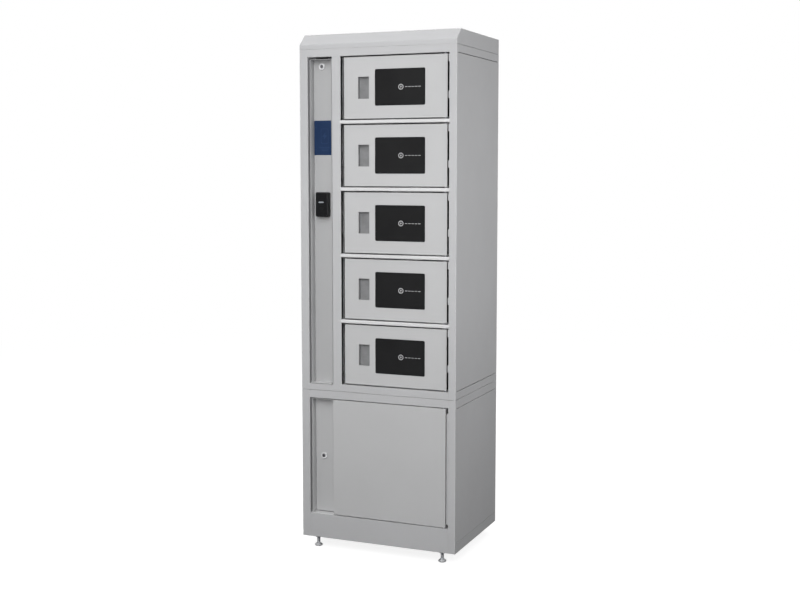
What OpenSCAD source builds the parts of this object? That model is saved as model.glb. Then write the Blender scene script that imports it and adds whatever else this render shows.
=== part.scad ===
// Phone charging kiosk: five charging bays over a storage cupboard.
// Origin: centre of the footprint on the floor.
// +Z up, the doors face -Y, +X to the right seen from the front.
// Inside the modules, x runs from the left edge, v runs back from the front face,
// and z runs up from the underside of the body.

/* [Body] */
// Width of the body
body_w = 600; // [590:1:620]
// Depth of the body
body_d = 450; // [440:1:480]
// Height of the lower module, up to the joint between the modules
lower_h = 549; // [540:1:600]
// Height of the top cap
cap_h = 55.5; // [50:0.5:70]
// Thickness of the steel sheet
sheet = 1.5; // [1.2:0.1:1.6]
// Clear height under the body, set by the feet
foot_h = 38; // [36:1:44]

/* [Bays] */
// Number of charging bays
bay_count = 5; // [3:1:5]
// Height from one bay to the next
bay_pitch = 236.8; // [230:0.1:250]
// Height of the shelf lip between two doors
lip_h = 12.6; // [12.6:0.1:14]
// Gap above and below each bay door
door_gap = 4.5; // [4:0.1:5]
// Depth of a bay door
door_t = 18; // [16:1:20]

/* [Doors] */
// Distance that the bay doors sit behind the front face
door_inset = 5; // [4:0.5:6]
// Width of the window in a bay door
window_w = 189.8; // [150:0.1:200]
// Height of the window in a bay door
window_h = 127; // [100:1:140]
// Width of the pull cup
cup_w = 42.3; // [36:0.1:48]
// Height of the pull cup
cup_h = 76.7; // [60:0.1:90]
// Depth of the pull cup
cup_t = 13; // [10:0.5:14]

/* [Service column] */
// Width of the card reader
reader_w = 49; // [40:1:60]
// Height of the card reader
reader_h = 89; // [70:1:110]
// Depth of the card reader
reader_t = 24; // [16:1:26]

/* [Hidden] */
BAYS = [for (i = [1 : bay_count]) i];

$fn = 48;
eps = 0.01;
// Clearance round a turning pin, on the radius, and round a pin fixed in its hole
run_gap = 0.08;
// Width of the seam grooves between the bands and the sheets
seam = 1.2;
side_groove = 2;

// Front face: edges of the posts and openings, from the left
left_post_w = 31.6;
mid_x0 = 127.6;
mid_x1 = 161.5;
// Right edge of the stile is folded flat back on itself over this width
stile_hem = 10;
right_x0 = body_w - 27.3;
// Side sheets start and stop this far from the front and back edges
wrap = 12;
// Heights of the seams
plinth_side_h = 36;
floor_z = 86;
plinth_h = 88.5;
lower_side_top = lower_h - 30.5;
bottom_rail_h = 26.7;
top_rail_h = 27.4;
upper_z = lower_h + seam / 2;
first_door_z = lower_h + bottom_rail_h + door_gap;
door_h = bay_pitch - lip_h - 2 * door_gap;
cap_z = lower_h + bottom_rail_h + bay_count * bay_pitch - lip_h + top_rail_h;
upper_side_z0 = lower_h + 29;
upper_side_z1 = cap_z - 28.5;
body_h = cap_z + cap_h;

// Bay doors
door_x0 = mid_x1 + 11.5;
door_x1 = right_x0 - 8.6;
door_w = door_x1 - door_x0;
door_pivot_x = door_x1 - 8;
door_pivot_v = door_inset + 5.5;
pin_r = 2.5;
collar_r = 4.75;
pin_reach = 8;
pin_root = 6;
collar_clear = 0.3;
small_collar_r = 3.6;
panel_pin_reach = 4;
pocket_x0 = door_x0 + 54.8;
window_x0 = door_x0 + 119.6;
corner_r = 5;
window_t = 3;
window_lap = 6;

// Shelf profile
lip_t = 3;
shelf_front_d = 24;
shelf_x0 = mid_x1 - 3;
shelf_x1 = right_x0;
partition_x = shelf_x0 - sheet;
shelf_back_v = body_d - 6;
storage_shelf_z = 232;

// Service column and channel
channel_x0 = 39;
channel_x1 = 125.2;
channel_v0 = 3;
channel_v1 = 34;
sill_z = lower_h + 23;
panel_gap = 1.5;
panel_z0 = sill_z + panel_gap;
panel_top_gap = 8;
panel_z1 = cap_z - top_rail_h - panel_top_gap;
panel_pivot_x = channel_x1 - 4;
panel_pivot_v = channel_v0 + 4;
stop_x1 = 48;
stop_v = 37;
stop_lip_v = 45.8;
// Depth of the ledge under the lower channel
ledge_v = 36.5;
// Front corners of the trays are cut back for the posts
left_notch = 50;
right_notch = 562;
notch_v = 48;
lock_x = 73;
service_lock_z = cap_z - 58.5;
reader_x0 = 55;
reader_z0 = 1179;
label_z = 1401;
label_h = 123.5;
label_t = 0.8;

// Lower door
lower_gap = 3;
lower_door_z0 = plinth_h + lower_gap;
lower_door_z1 = lower_side_top - 1.5;
lower_door_x1 = right_x0 - 9.9;
lower_pivot_x = lower_door_x1 - 5;
lower_pivot_v = 4;
lower_door_t = 20;
lower_lock_z = 300;
jamb_x0 = lower_door_x1 + 2.6;
jamb_v = 4;
jamb_z0 = 102;
jamb_z1 = 499;

// Cam lock
lock_r = 9.3;
head_r = 12;
head_t = 4.5;
plug_r = 6;
barrel_v1 = channel_v1 + 12;
cam_v = barrel_v1 + 0.3;
cam_l = 31;
cam_w = 16;
cam_t = 2.5;

// Bay locks
bolt_r = 5;
bolt_v = 38;
bolt_x0 = 137.7;
bolt_x1 = 163.7;
striker_slot = 12.6;
striker_x0 = door_x0 + 2;
striker_t = 2.5;
lock_body_x0 = 128;

// Fan
fan_w = 92;
fan_t = 25;
fan_r = 43;
fan_x = 92;
fan_z = cap_z - 135;
blade_count = 7;
shaft_r = 1.5;

// Charging sockets and mains inlet
socket_v0 = 302;
socket_v1 = 370;
socket_z0 = 96;
socket_z1 = 120;
inlet_x = 92;
inlet_z = lower_h + 90;
inlet_w = 28;
inlet_h = 20;

// Feet
foot_r = 14.5;
stem_r = 6;
foot_nut_r = 11;
foot_in_x = 55;
foot_in_v = 20;
foot_pad_h = 11;

// Wall and floor fixing holes
wall_hole_r = 5;
wall_dx = 400;
wall_dz = 880;
wall_z = 1130;
floor_hole_r = 6;
join_hole_r = 4.1;
floor_dx = 400;
floor_dy = 250;

function door_z(i) = first_door_z + (bay_count - i) * bay_pitch;

// ---- helpers ------------------------------------------------------------------------------------

// Puts module coordinates (x from the left, v from the front, z from the underside) into the frame
module place() {
    translate([-body_w / 2, -body_d / 2, foot_h]) children();
}

module block(x, v, z) {
    translate([x[0], v[0], z[0]]) cube([x[1] - x[0], v[1] - v[0], z[1] - z[0]]);
}

// A section drawn in (v, z), run along X
module along_x(x0, x1) {
    translate([x0, 0, 0]) rotate([90, 0, 90]) linear_extrude(x1 - x0) children();
}

module along_z(z0, z1) {
    translate([0, 0, z0]) linear_extrude(z1 - z0) children();
}

module upright(x, v, z0, z1, r) {
    translate([x, v, z0]) cylinder(h = z1 - z0, r = r);
}

// A cylinder along +Y from v0 to v1
module across(x, z, v0, v1, r) {
    translate([x, v0, z]) rotate([-90, 0, 0]) cylinder(h = v1 - v0, r = r);
}

// A cylinder along +X from x0 to x1
module sideways(v, z, x0, x1, r) {
    translate([x0, v, z]) rotate([0, 90, 0]) cylinder(h = x1 - x0, r = r);
}

// A plate in XZ with rounded corners
module round_plate(x, v, z, r) {
    block([x[0] + r, x[1] - r], v, z);
    block(x, v, [z[0] + r, z[1] - r]);
    for (cx = [x[0] + r, x[1] - r])
        for (cz = [z[0] + r, z[1] - r])
            across(cx, cz, v[0], v[1], r);
}

// ---- lower module -------------------------------------------------------------------------------

// Side faces of a band, between the front and rear wraps
module side_bands(z0, z1) {
    for (x = [0, body_w - sheet - eps])
        block([x, x + sheet + eps], [wrap, body_d - wrap], [z0, z1]);
}

// Front face of a band, between the posts, with its edge turned back
module front_rail(z0, z1, turned_z) {
    block([left_post_w, right_x0], [0, sheet + eps], [z0, z1]);
    block([left_post_w, right_x0], [sheet, 22], [turned_z, turned_z + sheet]);
}

// Plate of a band, cut back at the front corners for the posts
module tray_plate(z0, z1, inset) {
    along_z(z0, z1) polygon([
        [left_notch, sheet], [right_notch, sheet], [right_notch, notch_v], [body_w - inset, notch_v],
        [body_w - inset, body_d - sheet], [inset, body_d - sheet], [inset, notch_v], [left_notch, notch_v]]);
}

// Raised field on which the next module or the cap stands
module raised_field(z0) {
    block([3, body_w - 3], [3, body_d - 3], [z0, z0 + seam]);
}

module join_holes(z) {
    for (x = [60, body_w - 60])
        for (v = [60, body_d - 60])
            upright(x, v, z - 5, z + 5, join_hole_r);
}

module plinth() {
    wall_x = sheet + 0.5;
    color("#b4b5b7") place() difference() {
        union() {
            tray_plate(0, 3, sheet);
            side_bands(0, plinth_side_h - side_groove / 2);
            front_rail(0, plinth_h, plinth_h - sheet);
            block([left_post_w, mid_x0], [sheet, ledge_v], [plinth_h - sheet, plinth_h]);
            block([left_post_w, right_x0], [22 - sheet, 22], [floor_z - sheet, plinth_h]);
            tray_plate(floor_z - sheet, floor_z, wall_x);
            for (x = [wall_x, body_w - wall_x - sheet])
                block([x, x + sheet], [notch_v, body_d - 3], [1, floor_z]);
            block([wall_x, body_w - wall_x], [body_d - 2 * sheet, body_d - sheet], [1, floor_z]);
        }
        for (x = [foot_in_x, body_w - foot_in_x])
            for (v = [foot_in_v, body_d - foot_in_v])
                upright(x, v, -1, 4, stem_r + run_gap);
        for (x = [-floor_dx / 2, floor_dx / 2])
            for (v = [-floor_dy / 2, floor_dy / 2])
                upright(body_w / 2 + x, body_d / 2 + v, -1, 4, floor_hole_r);
        upright(lower_pivot_x, lower_pivot_v, plinth_h - 8, plinth_h + 1, pin_r + run_gap);
    }
    // feet brackets behind the front corners, where the tray is cut back for the posts
    color("#b4b5b7") place() for (side = [0, 1])
        translate([side * body_w, 0, 0]) mirror([side, 0, 0]) difference() {
            union() {
                block([left_post_w + 0.2, left_notch + 14], [sheet, notch_v], [0, 3]);
                block([left_notch - 4, left_notch + 14], [sheet, notch_v + 4], [0, 3]);
            }
            upright(foot_in_x, foot_in_v, -1, 4, stem_r + run_gap);
            block([0, left_post_w + 20], [36, 60], [-1, 5]);
        }
}

module lower_top_band() {
    rail_z = lower_side_top + 1.5;
    top = lower_h - seam / 2;
    color("#bcbdbf") place() difference() {
        union() {
            tray_plate(top - sheet, top + eps, sheet);
            raised_field(top);
            front_rail(rail_z, top, rail_z);
            side_bands(lower_side_top + side_groove / 2, top);
        }
        upright(lower_pivot_x, lower_pivot_v, rail_z - 1, rail_z + 4, pin_r + run_gap);
        join_holes(top);
    }
}

// Left post: front face, side wrap, channel return, and the stop on which the lock cam catches
module left_post(z0, z1) {
    along_z(z0, z1) polygon([
        [0, 0], [left_post_w, 0], [left_post_w, stop_v], [stop_x1, stop_v], [stop_x1, stop_lip_v],
        [stop_x1 - sheet, stop_lip_v], [stop_x1 - sheet, stop_v + sheet],
        [left_post_w - sheet, stop_v + sheet], [left_post_w - sheet, sheet], [sheet, sheet],
        [sheet, wrap], [0, wrap]]);
}

module lower_left_post() {
    color("#bcbdbf") place() {
        left_post(0, lower_h - seam / 2);
        block([sheet - eps, left_post_w], [sheet - eps, wrap], [0, 3]);
    }
}

// Right post: front face, side wrap and the return beside the doors
module right_post(z0, z1, depth) {
    along_z(z0, z1) polygon([
        [right_x0, 0], [body_w, 0], [body_w, wrap], [body_w - sheet, wrap], [body_w - sheet, sheet],
        [right_x0 + sheet, sheet], [right_x0 + sheet, depth], [right_x0, depth]]);
}

module lower_right_post() {
    color("#bcbdbf") place() {
        right_post(0, lower_h - seam / 2, 40);
        block([right_x0, body_w - sheet + eps], [sheet - eps, wrap], [0, 3]);
        // rebate beside the door, cut back where the pivots are
        along_z(jamb_z0, jamb_z1) polygon([
            [jamb_x0, jamb_v], [right_x0 + eps, jamb_v], [right_x0 + eps, jamb_v + sheet],
            [jamb_x0 + sheet, jamb_v + sheet], [jamb_x0 + sheet, 30], [jamb_x0, 30]]);
    }
}

// A side sheet with its top and bottom edges turned inwards
module side_sheet(right, z0, z1, turned_z0) {
    translate([right ? body_w : 0, 0, 0]) mirror([right ? 1 : 0, 0, 0]) {
        block([0, sheet], [wrap, body_d - wrap], [z0, z1]);
        for (z = [turned_z0, z1 - sheet])
            block([0, 10], [notch_v + 2, body_d - wrap - 3], [z, z + sheet]);
    }
}

module lower_side(right) {
    color("#9a9b9c") place()
        side_sheet(right, plinth_side_h + side_groove / 2, lower_side_top - side_groove / 2, plinth_h + 0.5);
}

module lower_left_side() {
    lower_side(false);
}

module lower_right_side() {
    lower_side(true);
}

// A rear panel that wraps round both back corners
module rear_pan(z0, z1) {
    block([0, body_w], [body_d - sheet, body_d], [z0, z1]);
    for (x = [0, body_w - sheet])
        block([x, x + sheet], [body_d - wrap, body_d], [z0, z1]);
}

// Rows of vent slots through a rear panel
module vents(x0, x1, z0, rows) {
    slot_h = 3.6;
    slot_pitch = 9;
    for (i = [0 : rows - 1])
        block([x0, x1], [body_d - 4, body_d + 2], [z0 + i * slot_pitch, z0 + i * slot_pitch + slot_h]);
}

module lower_rear_panel() {
    color("#a8a9ab") place() difference() {
        rear_pan(0, lower_h - seam / 2);
        for (x = [200, 310])
            vents(x, x + 90, 400, 6);
    }
}

// Shelf of the cupboard, its four edges turned down and screwed to the side sheets
module storage_shelf() {
    z = storage_shelf_z;
    v0 = 60;
    v1 = body_d - 8;
    color("#b4b5b7") place() difference() {
        block([sheet, body_w - sheet], [v0, v1], [z - 18, z + sheet]);
        block([2 * sheet, body_w - 2 * sheet], [v0 + sheet, v1 - sheet], [z - 19, z]);
    }
}

// ---- upper module -------------------------------------------------------------------------------

module upper_bottom_band() {
    rail_top = lower_h + bottom_rail_h;
    color("#bcbdbf") place() difference() {
        union() {
            tray_plate(upper_z, upper_z + sheet, sheet);
            block([left_post_w, right_x0], [0, sheet + eps], [upper_z, sill_z]);
            block([mid_x0, right_x0], [0, sheet + eps], [upper_z, rail_top]);
            block([mid_x1, right_x0], [sheet, 22], [rail_top - sheet, rail_top]);
            block([left_post_w, mid_x1], [sheet, 22], [sill_z - sheet, sill_z]);
            side_bands(upper_z, upper_side_z0 - side_groove / 2);
        }
        upright(door_pivot_x, door_pivot_v, rail_top - 5, rail_top + 1, pin_r + run_gap);
        upright(panel_pivot_x, panel_pivot_v, sill_z - 5, sill_z + 1, pin_r + run_gap);
        join_holes(upper_z);
    }
}

module upper_top_band() {
    rail_z = cap_z - top_rail_h;
    top = cap_z - seam / 2;
    color("#bcbdbf") place() difference() {
        union() {
            tray_plate(top - sheet, top + eps, sheet);
            raised_field(top);
            front_rail(rail_z, top, rail_z);
            side_bands(upper_side_z1 + side_groove / 2, top);
        }
        upright(door_pivot_x, door_pivot_v, rail_z - 1, rail_z + 5, pin_r + run_gap);
        upright(panel_pivot_x, panel_pivot_v, rail_z - 1, rail_z + 5, pin_r + run_gap);
    }
}

module upper_left_post() {
    color("#bcbdbf") place() left_post(upper_z, cap_z - seam / 2);
}

// Stile between the channel and the bays, notched for the ends of the shelf lips
module mid_stile() {
    z0 = lower_h + bottom_rail_h;
    z1 = cap_z - top_rail_h;
    color("#bcbdbf") place() difference() {
        along_z(z0, z1) polygon([
            [mid_x0, 0], [mid_x1, 0], [mid_x1, 2 * sheet], [mid_x1 - stile_hem, 2 * sheet],
            [mid_x1 - stile_hem, sheet], [mid_x0 + sheet, sheet], [mid_x0 + sheet, 22], [mid_x0, 22]]);
        for (i = [1 : bay_count - 1])
            block([shelf_x0 - 0.2, mid_x1 + 1], [-1, 26],
                [door_z(i) - door_gap - lip_h - 0.2, door_z(i) - door_gap + 0.2]);
    }
}

module upper_right_post() {
    tab_x0 = right_x0 - 4.6;
    tab_h = 25;
    color("#bcbdbf") place() {
        right_post(upper_z, cap_z - seam / 2, 34);
        // two tabs behind the hinge edge of each door
        for (i = BAYS)
            for (drop = [26, 150])
                block([tab_x0, right_x0 + eps], [4, 22],
                    [door_z(i) + door_h - drop, door_z(i) + door_h - drop + tab_h]);
    }
}

module upper_side(right) {
    z0 = upper_side_z0 + side_groove / 2;
    color("#9a9b9c") place() side_sheet(right, z0, upper_side_z1 - side_groove / 2, z0);
}

module upper_left_side() {
    upper_side(false);
}

module upper_right_side() {
    upper_side(true);
}

module upper_rear_panel() {
    grille_r = fan_r - 3;
    color("#a8a9ab") place() difference() {
        rear_pan(upper_z, cap_z - seam / 2);
        for (i = BAYS)
            for (x = [240, 350])
                vents(x, x + 90, door_z(i) + 130, 5);
        // slots behind the fan, their ends on a circle
        for (i = [-4 : 4]) {
            half = sqrt(pow(grille_r, 2) - pow(i * 9, 2));
            z = fan_z + i * 9;
            block([fan_x - half, fan_x + half], [body_d - 4, body_d + 2], [z - 1.8, z + 1.8]);
        }
        block([inlet_x - inlet_w / 2 - 0.2, inlet_x + inlet_w / 2 + 0.2], [body_d - 4, body_d + 2],
            [inlet_z - inlet_h / 2 - 0.2, inlet_z + inlet_h / 2 + 0.2]);
        for (x = [-wall_dx / 2, wall_dx / 2])
            for (z = [-wall_dz / 2, wall_dz / 2])
                across(body_w / 2 + x, wall_z + z, body_d - 5, body_d + 5, wall_hole_r);
    }
}

// Cap: a folded hood with a sloped front, open underneath inside its bottom flange
module top_cap() {
    slope_v = 40;
    z0 = cap_z + seam / 2;
    z1 = body_h;
    front_z = cap_z + 17.4;
    color("#c0c1c3") place() difference() {
        along_x(0, body_w) polygon([[0, z0], [0, front_z], [slope_v, z1], [body_d, z1], [body_d, z0]]);
        along_x(sheet, body_w - sheet) polygon([
            [sheet, z0 + sheet], [sheet, front_z - 0.6], [slope_v + 0.6, z1 - sheet],
            [body_d - sheet, z1 - sheet], [body_d - sheet, z0 + sheet]]);
        block([14, body_w - 14], [14, body_d - 14], [z0 - 1, z0 + sheet + 1]);
    }
}

module bay_partition() {
    flange = 14;
    back_v = body_d - sheet;
    z0 = upper_z + sheet;
    z1 = cap_z - seam / 2 - sheet;
    color("#b4b5b7") place() difference() {
        union() {
            block([partition_x, partition_x + sheet], [27, back_v], [z0, z1]);
            block([partition_x - flange, partition_x + eps], [back_v - sheet, back_v], [z0, z1]);
        }
        for (i = BAYS) {
            sideways(bolt_v, door_z(i) + door_h / 2, partition_x - 5, partition_x + 5, bolt_r + 0.5);
            block([partition_x - 1, partition_x + 3], [socket_v0 - 1, socket_v1 + 1],
                [door_z(i) + socket_z0 - 1, door_z(i) + socket_z1 + 1]);
        }
    }
}

// A bay shelf: box-section lip, flat plate, rear upstand
module shelf_section(z_top) {
    lip_z = z_top - lip_h;
    turned = lip_z + 6;
    rise = z_top + 14;
    polygon([
        [0, lip_z], [shelf_front_d, lip_z], [shelf_front_d, turned], [shelf_front_d - sheet, turned],
        [shelf_front_d - sheet, lip_z + sheet], [lip_t, lip_z + sheet], [lip_t, z_top - sheet],
        [shelf_back_v, z_top - sheet], [shelf_back_v, rise], [shelf_back_v - sheet, rise],
        [shelf_back_v - sheet, z_top], [0, z_top]]);
}

module bay_shelves() {
    color("#c4c5c7") place() difference() {
        union() {
            for (i = [1 : bay_count - 1]) {
                z = door_z(i) - door_gap;
                along_x(shelf_x0, shelf_x1) shelf_section(z);
                // the plate widens behind the right post
                block([shelf_x1 - eps, body_w - 11], [notch_v, shelf_back_v], [z - sheet, z]);
            }
            floor_top = door_z(bay_count) - door_gap;
            block([shelf_x0, shelf_x1], [22.2, shelf_back_v], [floor_top - sheet, floor_top]);
            block([shelf_x1 - eps, body_w - 11], [notch_v, shelf_back_v], [floor_top - sheet, floor_top]);
        }
        for (i = [1 : bay_count - 1])
            upright(door_pivot_x, door_pivot_v, door_z(i) - door_gap - lip_h - 1, door_z(i) - door_gap + 1,
                pin_r + run_gap);
    }
}

// A pin with a collar that fills the gap; up says which way its free end points
module pivot_pin(x, v, face_z, gap, up, collar, reach) {
    translate([x, v, face_z]) mirror([0, 0, up ? 0 : 1]) {
        translate([0, 0, -pin_root]) cylinder(h = pin_root + gap + reach, r = pin_r);
        cylinder(h = gap - collar_clear, r = collar);
    }
}

module hinge_pins() {
    rail_top = cap_z - top_rail_h;
    color("#d0d1d2") place() {
        for (i = BAYS) {
            pivot_pin(door_pivot_x, door_pivot_v, door_z(i) - door_gap, door_gap, true, collar_r, pin_reach);
            pivot_pin(door_pivot_x, door_pivot_v, door_z(i) + door_h + door_gap, door_gap, false, collar_r,
                pin_reach);
        }
        pivot_pin(lower_pivot_x, lower_pivot_v, plinth_h, lower_gap, true, small_collar_r, pin_reach);
        pivot_pin(lower_pivot_x, lower_pivot_v, lower_side_top + 1.5, lower_gap, false, small_collar_r,
            pin_reach);
        pivot_pin(panel_pivot_x, panel_pivot_v, sill_z, panel_gap, true, small_collar_r, panel_pin_reach);
        pivot_pin(panel_pivot_x, panel_pivot_v, rail_top, rail_top - panel_z1, false, small_collar_r,
            panel_pin_reach);
    }
}

// ---- inside the upper module --------------------------------------------------------------------

module lock_bodies() {
    color("#8e9093") place()
        for (i = BAYS) {
            z = door_z(i) + door_h / 2;
            difference() {
                union() {
                    block([lock_body_x0, partition_x], [27, 60], [z - 26, z + 26]);
                    block([partition_x - 3, partition_x], [27, 60], [z - 38, z + 38]);
                }
                sideways(bolt_v, z, bolt_x0 - 1, partition_x + 1, bolt_r + run_gap);
            }
        }
}

module lock_bolt(i) {
    z = door_z(i) + door_h / 2;
    tip = 1.5;
    color("#d0d1d2") place() {
        sideways(bolt_v, z, bolt_x0, bolt_x1 - tip, bolt_r);
        translate([bolt_x1 - tip - eps, bolt_v, z]) rotate([0, 90, 0])
            cylinder(h = tip + eps, r1 = bolt_r, r2 = bolt_r - 1.2);
    }
}

// A charging socket panel in each bay, with a row of four socket slots
module charging_sockets() {
    plate_t = 4;
    slot_v = 17;
    color("#26272a") place()
        for (i = BAYS) {
            z0 = door_z(i) + socket_z0;
            z1 = door_z(i) + socket_z1;
            x0 = partition_x + sheet;
            difference() {
                union() {
                    block([x0, x0 + plate_t], [socket_v0 - 6, socket_v1 + 6], [z0 - 6, z1 + 6]);
                    block([x0 - 18, x0 + eps], [socket_v0, socket_v1], [z0, z1]);
                }
                for (k = [0 : 3])
                    block([x0 - 8, x0 + plate_t + 1],
                        [socket_v0 + 2.5 + k * slot_v, socket_v0 + 15.5 + k * slot_v],
                        [(z0 + z1) / 2 - 3, (z0 + z1) / 2 + 3]);
            }
        }
}

module control_board() {
    board_x = partition_x - 9;
    z0 = 1090;
    color("#1f5a3a") place() {
        block([board_x, board_x + 1.6], [110, 230], [z0, z0 + 180]);
        for (v = [118, 222])
            for (z = [z0 + 8, z0 + 172])
                sideways(v, z, board_x + 1, partition_x, 3);
        // relays, terminal blocks, processor and connectors
        for (k = [0 : 4])
            block([board_x - 16, board_x + 0.5], [118, 134], [z0 + 20 + k * 28, z0 + 40 + k * 28]);
        for (k = [0 : 1])
            block([board_x - 11, board_x + 0.5], [208, 220], [z0 + 20 + k * 72, z0 + 84 + k * 72]);
        block([board_x - 4, board_x + 0.5], [156, 184], [z0 + 76, z0 + 104]);
        sideways(170, z0 + 140, board_x - 14, board_x + 0.5, 7);
    }
}

module power_supply() {
    x0 = partition_x - 50;
    z0 = 720;
    color("#a9abad") place() difference() {
        block([x0, partition_x], [180, 395], [z0, z0 + 115]);
        // open terminal end
        block([x0 - 1, partition_x - 12], [179, 198], [z0 + 2, z0 + 113]);
        for (v = [215 : 12 : 370])
            block([x0 - 1, x0 + 1], [v, v + 4], [z0 + 20, z0 + 95]);
    }
}

module fan_housing() {
    v1 = body_d - sheet;
    v0 = v1 - fan_t;
    half = fan_w / 2;
    strut = 6;
    color("#2a2b2d") place() {
        difference() {
            block([fan_x - half, fan_x + half], [v0, v1], [fan_z - half, fan_z + half]);
            across(fan_x, fan_z, v0 - 1, v1 + 1, fan_r + 1);
            for (x = [-1, 1])
                for (z = [-1, 1])
                    across(fan_x + x * (half - 5), fan_z + z * (half - 5), v0 - 1, v1 + 1, 2.2);
        }
        block([fan_x - half + 1, fan_x + half - 1], [v0, v0 + 3], [fan_z - strut / 2, fan_z + strut / 2]);
        block([fan_x - strut / 2, fan_x + strut / 2], [v0, v0 + 3], [fan_z - half + 1, fan_z + half - 1]);
        across(fan_x, fan_z, v0, v0 + 5.5, 16);
        across(fan_x, fan_z, v0 + 5, v0 + 20, shaft_r);
    }
}

module fan_rotor() {
    v0 = body_d - sheet - fan_t + 6.5;
    v1 = v0 + 15;
    hub_r = 17;
    blade_r = fan_r - 0.5;
    blade_t = 1.6;
    tilt = 38;
    color("#35373a") place() difference() {
        union() {
            across(fan_x, fan_z, v0, v1, hub_r);
            intersection() {
                union()
                    for (k = [0 : blade_count - 1])
                        translate([fan_x, (v0 + v1) / 2, fan_z]) rotate([0, k * 360 / blade_count, 0])
                            translate([hub_r - 1, 0, 0]) rotate([tilt, 0, 0])
                                translate([0, -blade_t / 2, -13]) cube([blade_r, blade_t, 26]);
                across(fan_x, fan_z, v0 + 0.5, v1 - 0.5, blade_r);
            }
        }
        across(fan_x, fan_z, v0 - 1, v1 - 1, shaft_r + run_gap);
    }
}

// Three-pin mains inlet, screwed to the inside of the rear panel and flush with its back
module mains_inlet() {
    inner_v = body_d - sheet;
    flange_w = 50;
    color("#1d1e20") place() {
        difference() {
            union() {
                block([inlet_x - flange_w / 2, inlet_x + flange_w / 2], [inner_v - 2, inner_v],
                    [inlet_z - 12, inlet_z + 12]);
                block([inlet_x - inlet_w / 2, inlet_x + inlet_w / 2], [inner_v - 22, body_d],
                    [inlet_z - inlet_h / 2, inlet_z + inlet_h / 2]);
            }
            block([inlet_x - inlet_w / 2 + 2, inlet_x + inlet_w / 2 - 2], [inner_v - 16, body_d + 1],
                [inlet_z - inlet_h / 2 + 2, inlet_z + inlet_h / 2 - 2]);
        }
        for (pin = [[-7, -2], [0, 2], [7, -2]])
            block([inlet_x + pin[0] - 1, inlet_x + pin[0] + 1], [inner_v - 17, inner_v - 3.5],
                [inlet_z + pin[1] - 2, inlet_z + pin[1] + 2]);
    }
}

// Bolts that join the modules, and the jam and weld nuts of the feet
module frame_bolts() {
    plate_top = upper_z + sheet;
    nut_z = lower_h - seam / 2 - sheet;
    color("#c9cacb") place() {
        for (x = [60, body_w - 60])
            for (v = [60, body_d - 60]) {
                upright(x, v, nut_z - 12, plate_top + 0.5, join_hole_r - 0.1);
                translate([x, v, plate_top]) cylinder(h = 5.3, r = 7.5, $fn = 6);
                translate([x, v, nut_z - 6.5]) cylinder(h = 6.5, r = 7.5, $fn = 6);
            }
        for (x = [foot_in_x, body_w - foot_in_x])
            for (v = [foot_in_v, body_d - foot_in_v])
                for (z = [[-6, 0], [3, 11]])
                    difference() {
                        translate([x, v, z[0]]) cylinder(h = z[1] - z[0], r = foot_nut_r, $fn = 6);
                        upright(x, v, z[0] - 1, z[1] + 1, stem_r + run_gap);
                    }
    }
}

// ---- service panel and locks --------------------------------------------------------------------

// The recessed channel: face, left wall and the top end turned forwards, and the foot end too if closed
module channel(x1, z0, z1, closed_foot) {
    back_v = channel_v1 + sheet;
    block([channel_x0, x1], [channel_v1, back_v], [z0, z1]);
    block([channel_x0, channel_x0 + sheet], [channel_v0, back_v], [z0, z1]);
    block([channel_x0, x1], [channel_v0, back_v], [z1 - sheet, z1]);
    if (closed_foot)
        block([channel_x0, x1], [channel_v0, back_v], [z0, z0 + sheet]);
}

module lock_hole(z) {
    across(lock_x, z, channel_v1 - 1, channel_v1 + 3, lock_r + 0.05);
}

module service_panel() {
    color("#b9babc") place() difference() {
        union() {
            channel(channel_x1, panel_z0, panel_z1, true);
            block([channel_x1 - sheet, channel_x1], [channel_v0, channel_v1 + sheet], [panel_z0, panel_z1]);
        }
        lock_hole(service_lock_z);
        across(reader_x0 + reader_w / 2, reader_z0 + reader_h / 2, channel_v1 - 1, channel_v1 + 3, 8);
        upright(panel_pivot_x, panel_pivot_v, panel_z0 - 1, panel_z0 + 3, pin_r + run_gap);
        upright(panel_pivot_x, panel_pivot_v, panel_z1 - 3, panel_z1 + 1, pin_r + run_gap);
    }
}

// Lock barrel with its head ring in front of the sheet, and the nut behind it
module lock_barrel(z) {
    color("#cfd0d2") place() {
        difference() {
            union() {
                across(lock_x, z, channel_v1 - head_t, channel_v1, head_r);
                across(lock_x, z, channel_v1 - eps, barrel_v1, lock_r);
            }
            across(lock_x, z, channel_v1 - 10, barrel_v1 + 1, plug_r + 0.06);
        }
        difference() {
            translate([lock_x, channel_v1 + sheet, z]) rotate([-90, 0, 0]) cylinder(h = 5, r = 13, $fn = 6);
            across(lock_x, z, channel_v1, barrel_v1, lock_r + 0.05);
        }
    }
}

// Turning plug with its key slot, and the cam on its tail
module lock_plug(z) {
    face_v = channel_v1 - head_t - 0.3;
    color("#dadbdc") place() difference() {
        union() {
            across(lock_x, z, face_v, cam_v + 0.5, plug_r);
            across(lock_x, z, cam_v, cam_v + cam_t + 3, 4.5);
            block([lock_x - cam_w / 2, lock_x + cam_w / 2], [cam_v, cam_v + cam_t],
                [z - cam_l + cam_w / 2, z + cam_w / 2]);
            across(lock_x, z - cam_l + cam_w / 2, cam_v, cam_v + cam_t, cam_w / 2);
        }
        block([lock_x - 0.7, lock_x + 0.7], [face_v - 1, face_v + 3], [z - 3.6, z + 3.6]);
    }
}

module service_lock_barrel() {
    lock_barrel(service_lock_z);
}

module service_lock_plug() {
    lock_plug(service_lock_z);
}

module lower_lock_barrel() {
    lock_barrel(lower_lock_z);
}

module lower_lock_plug() {
    lock_plug(lower_lock_z);
}

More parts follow.
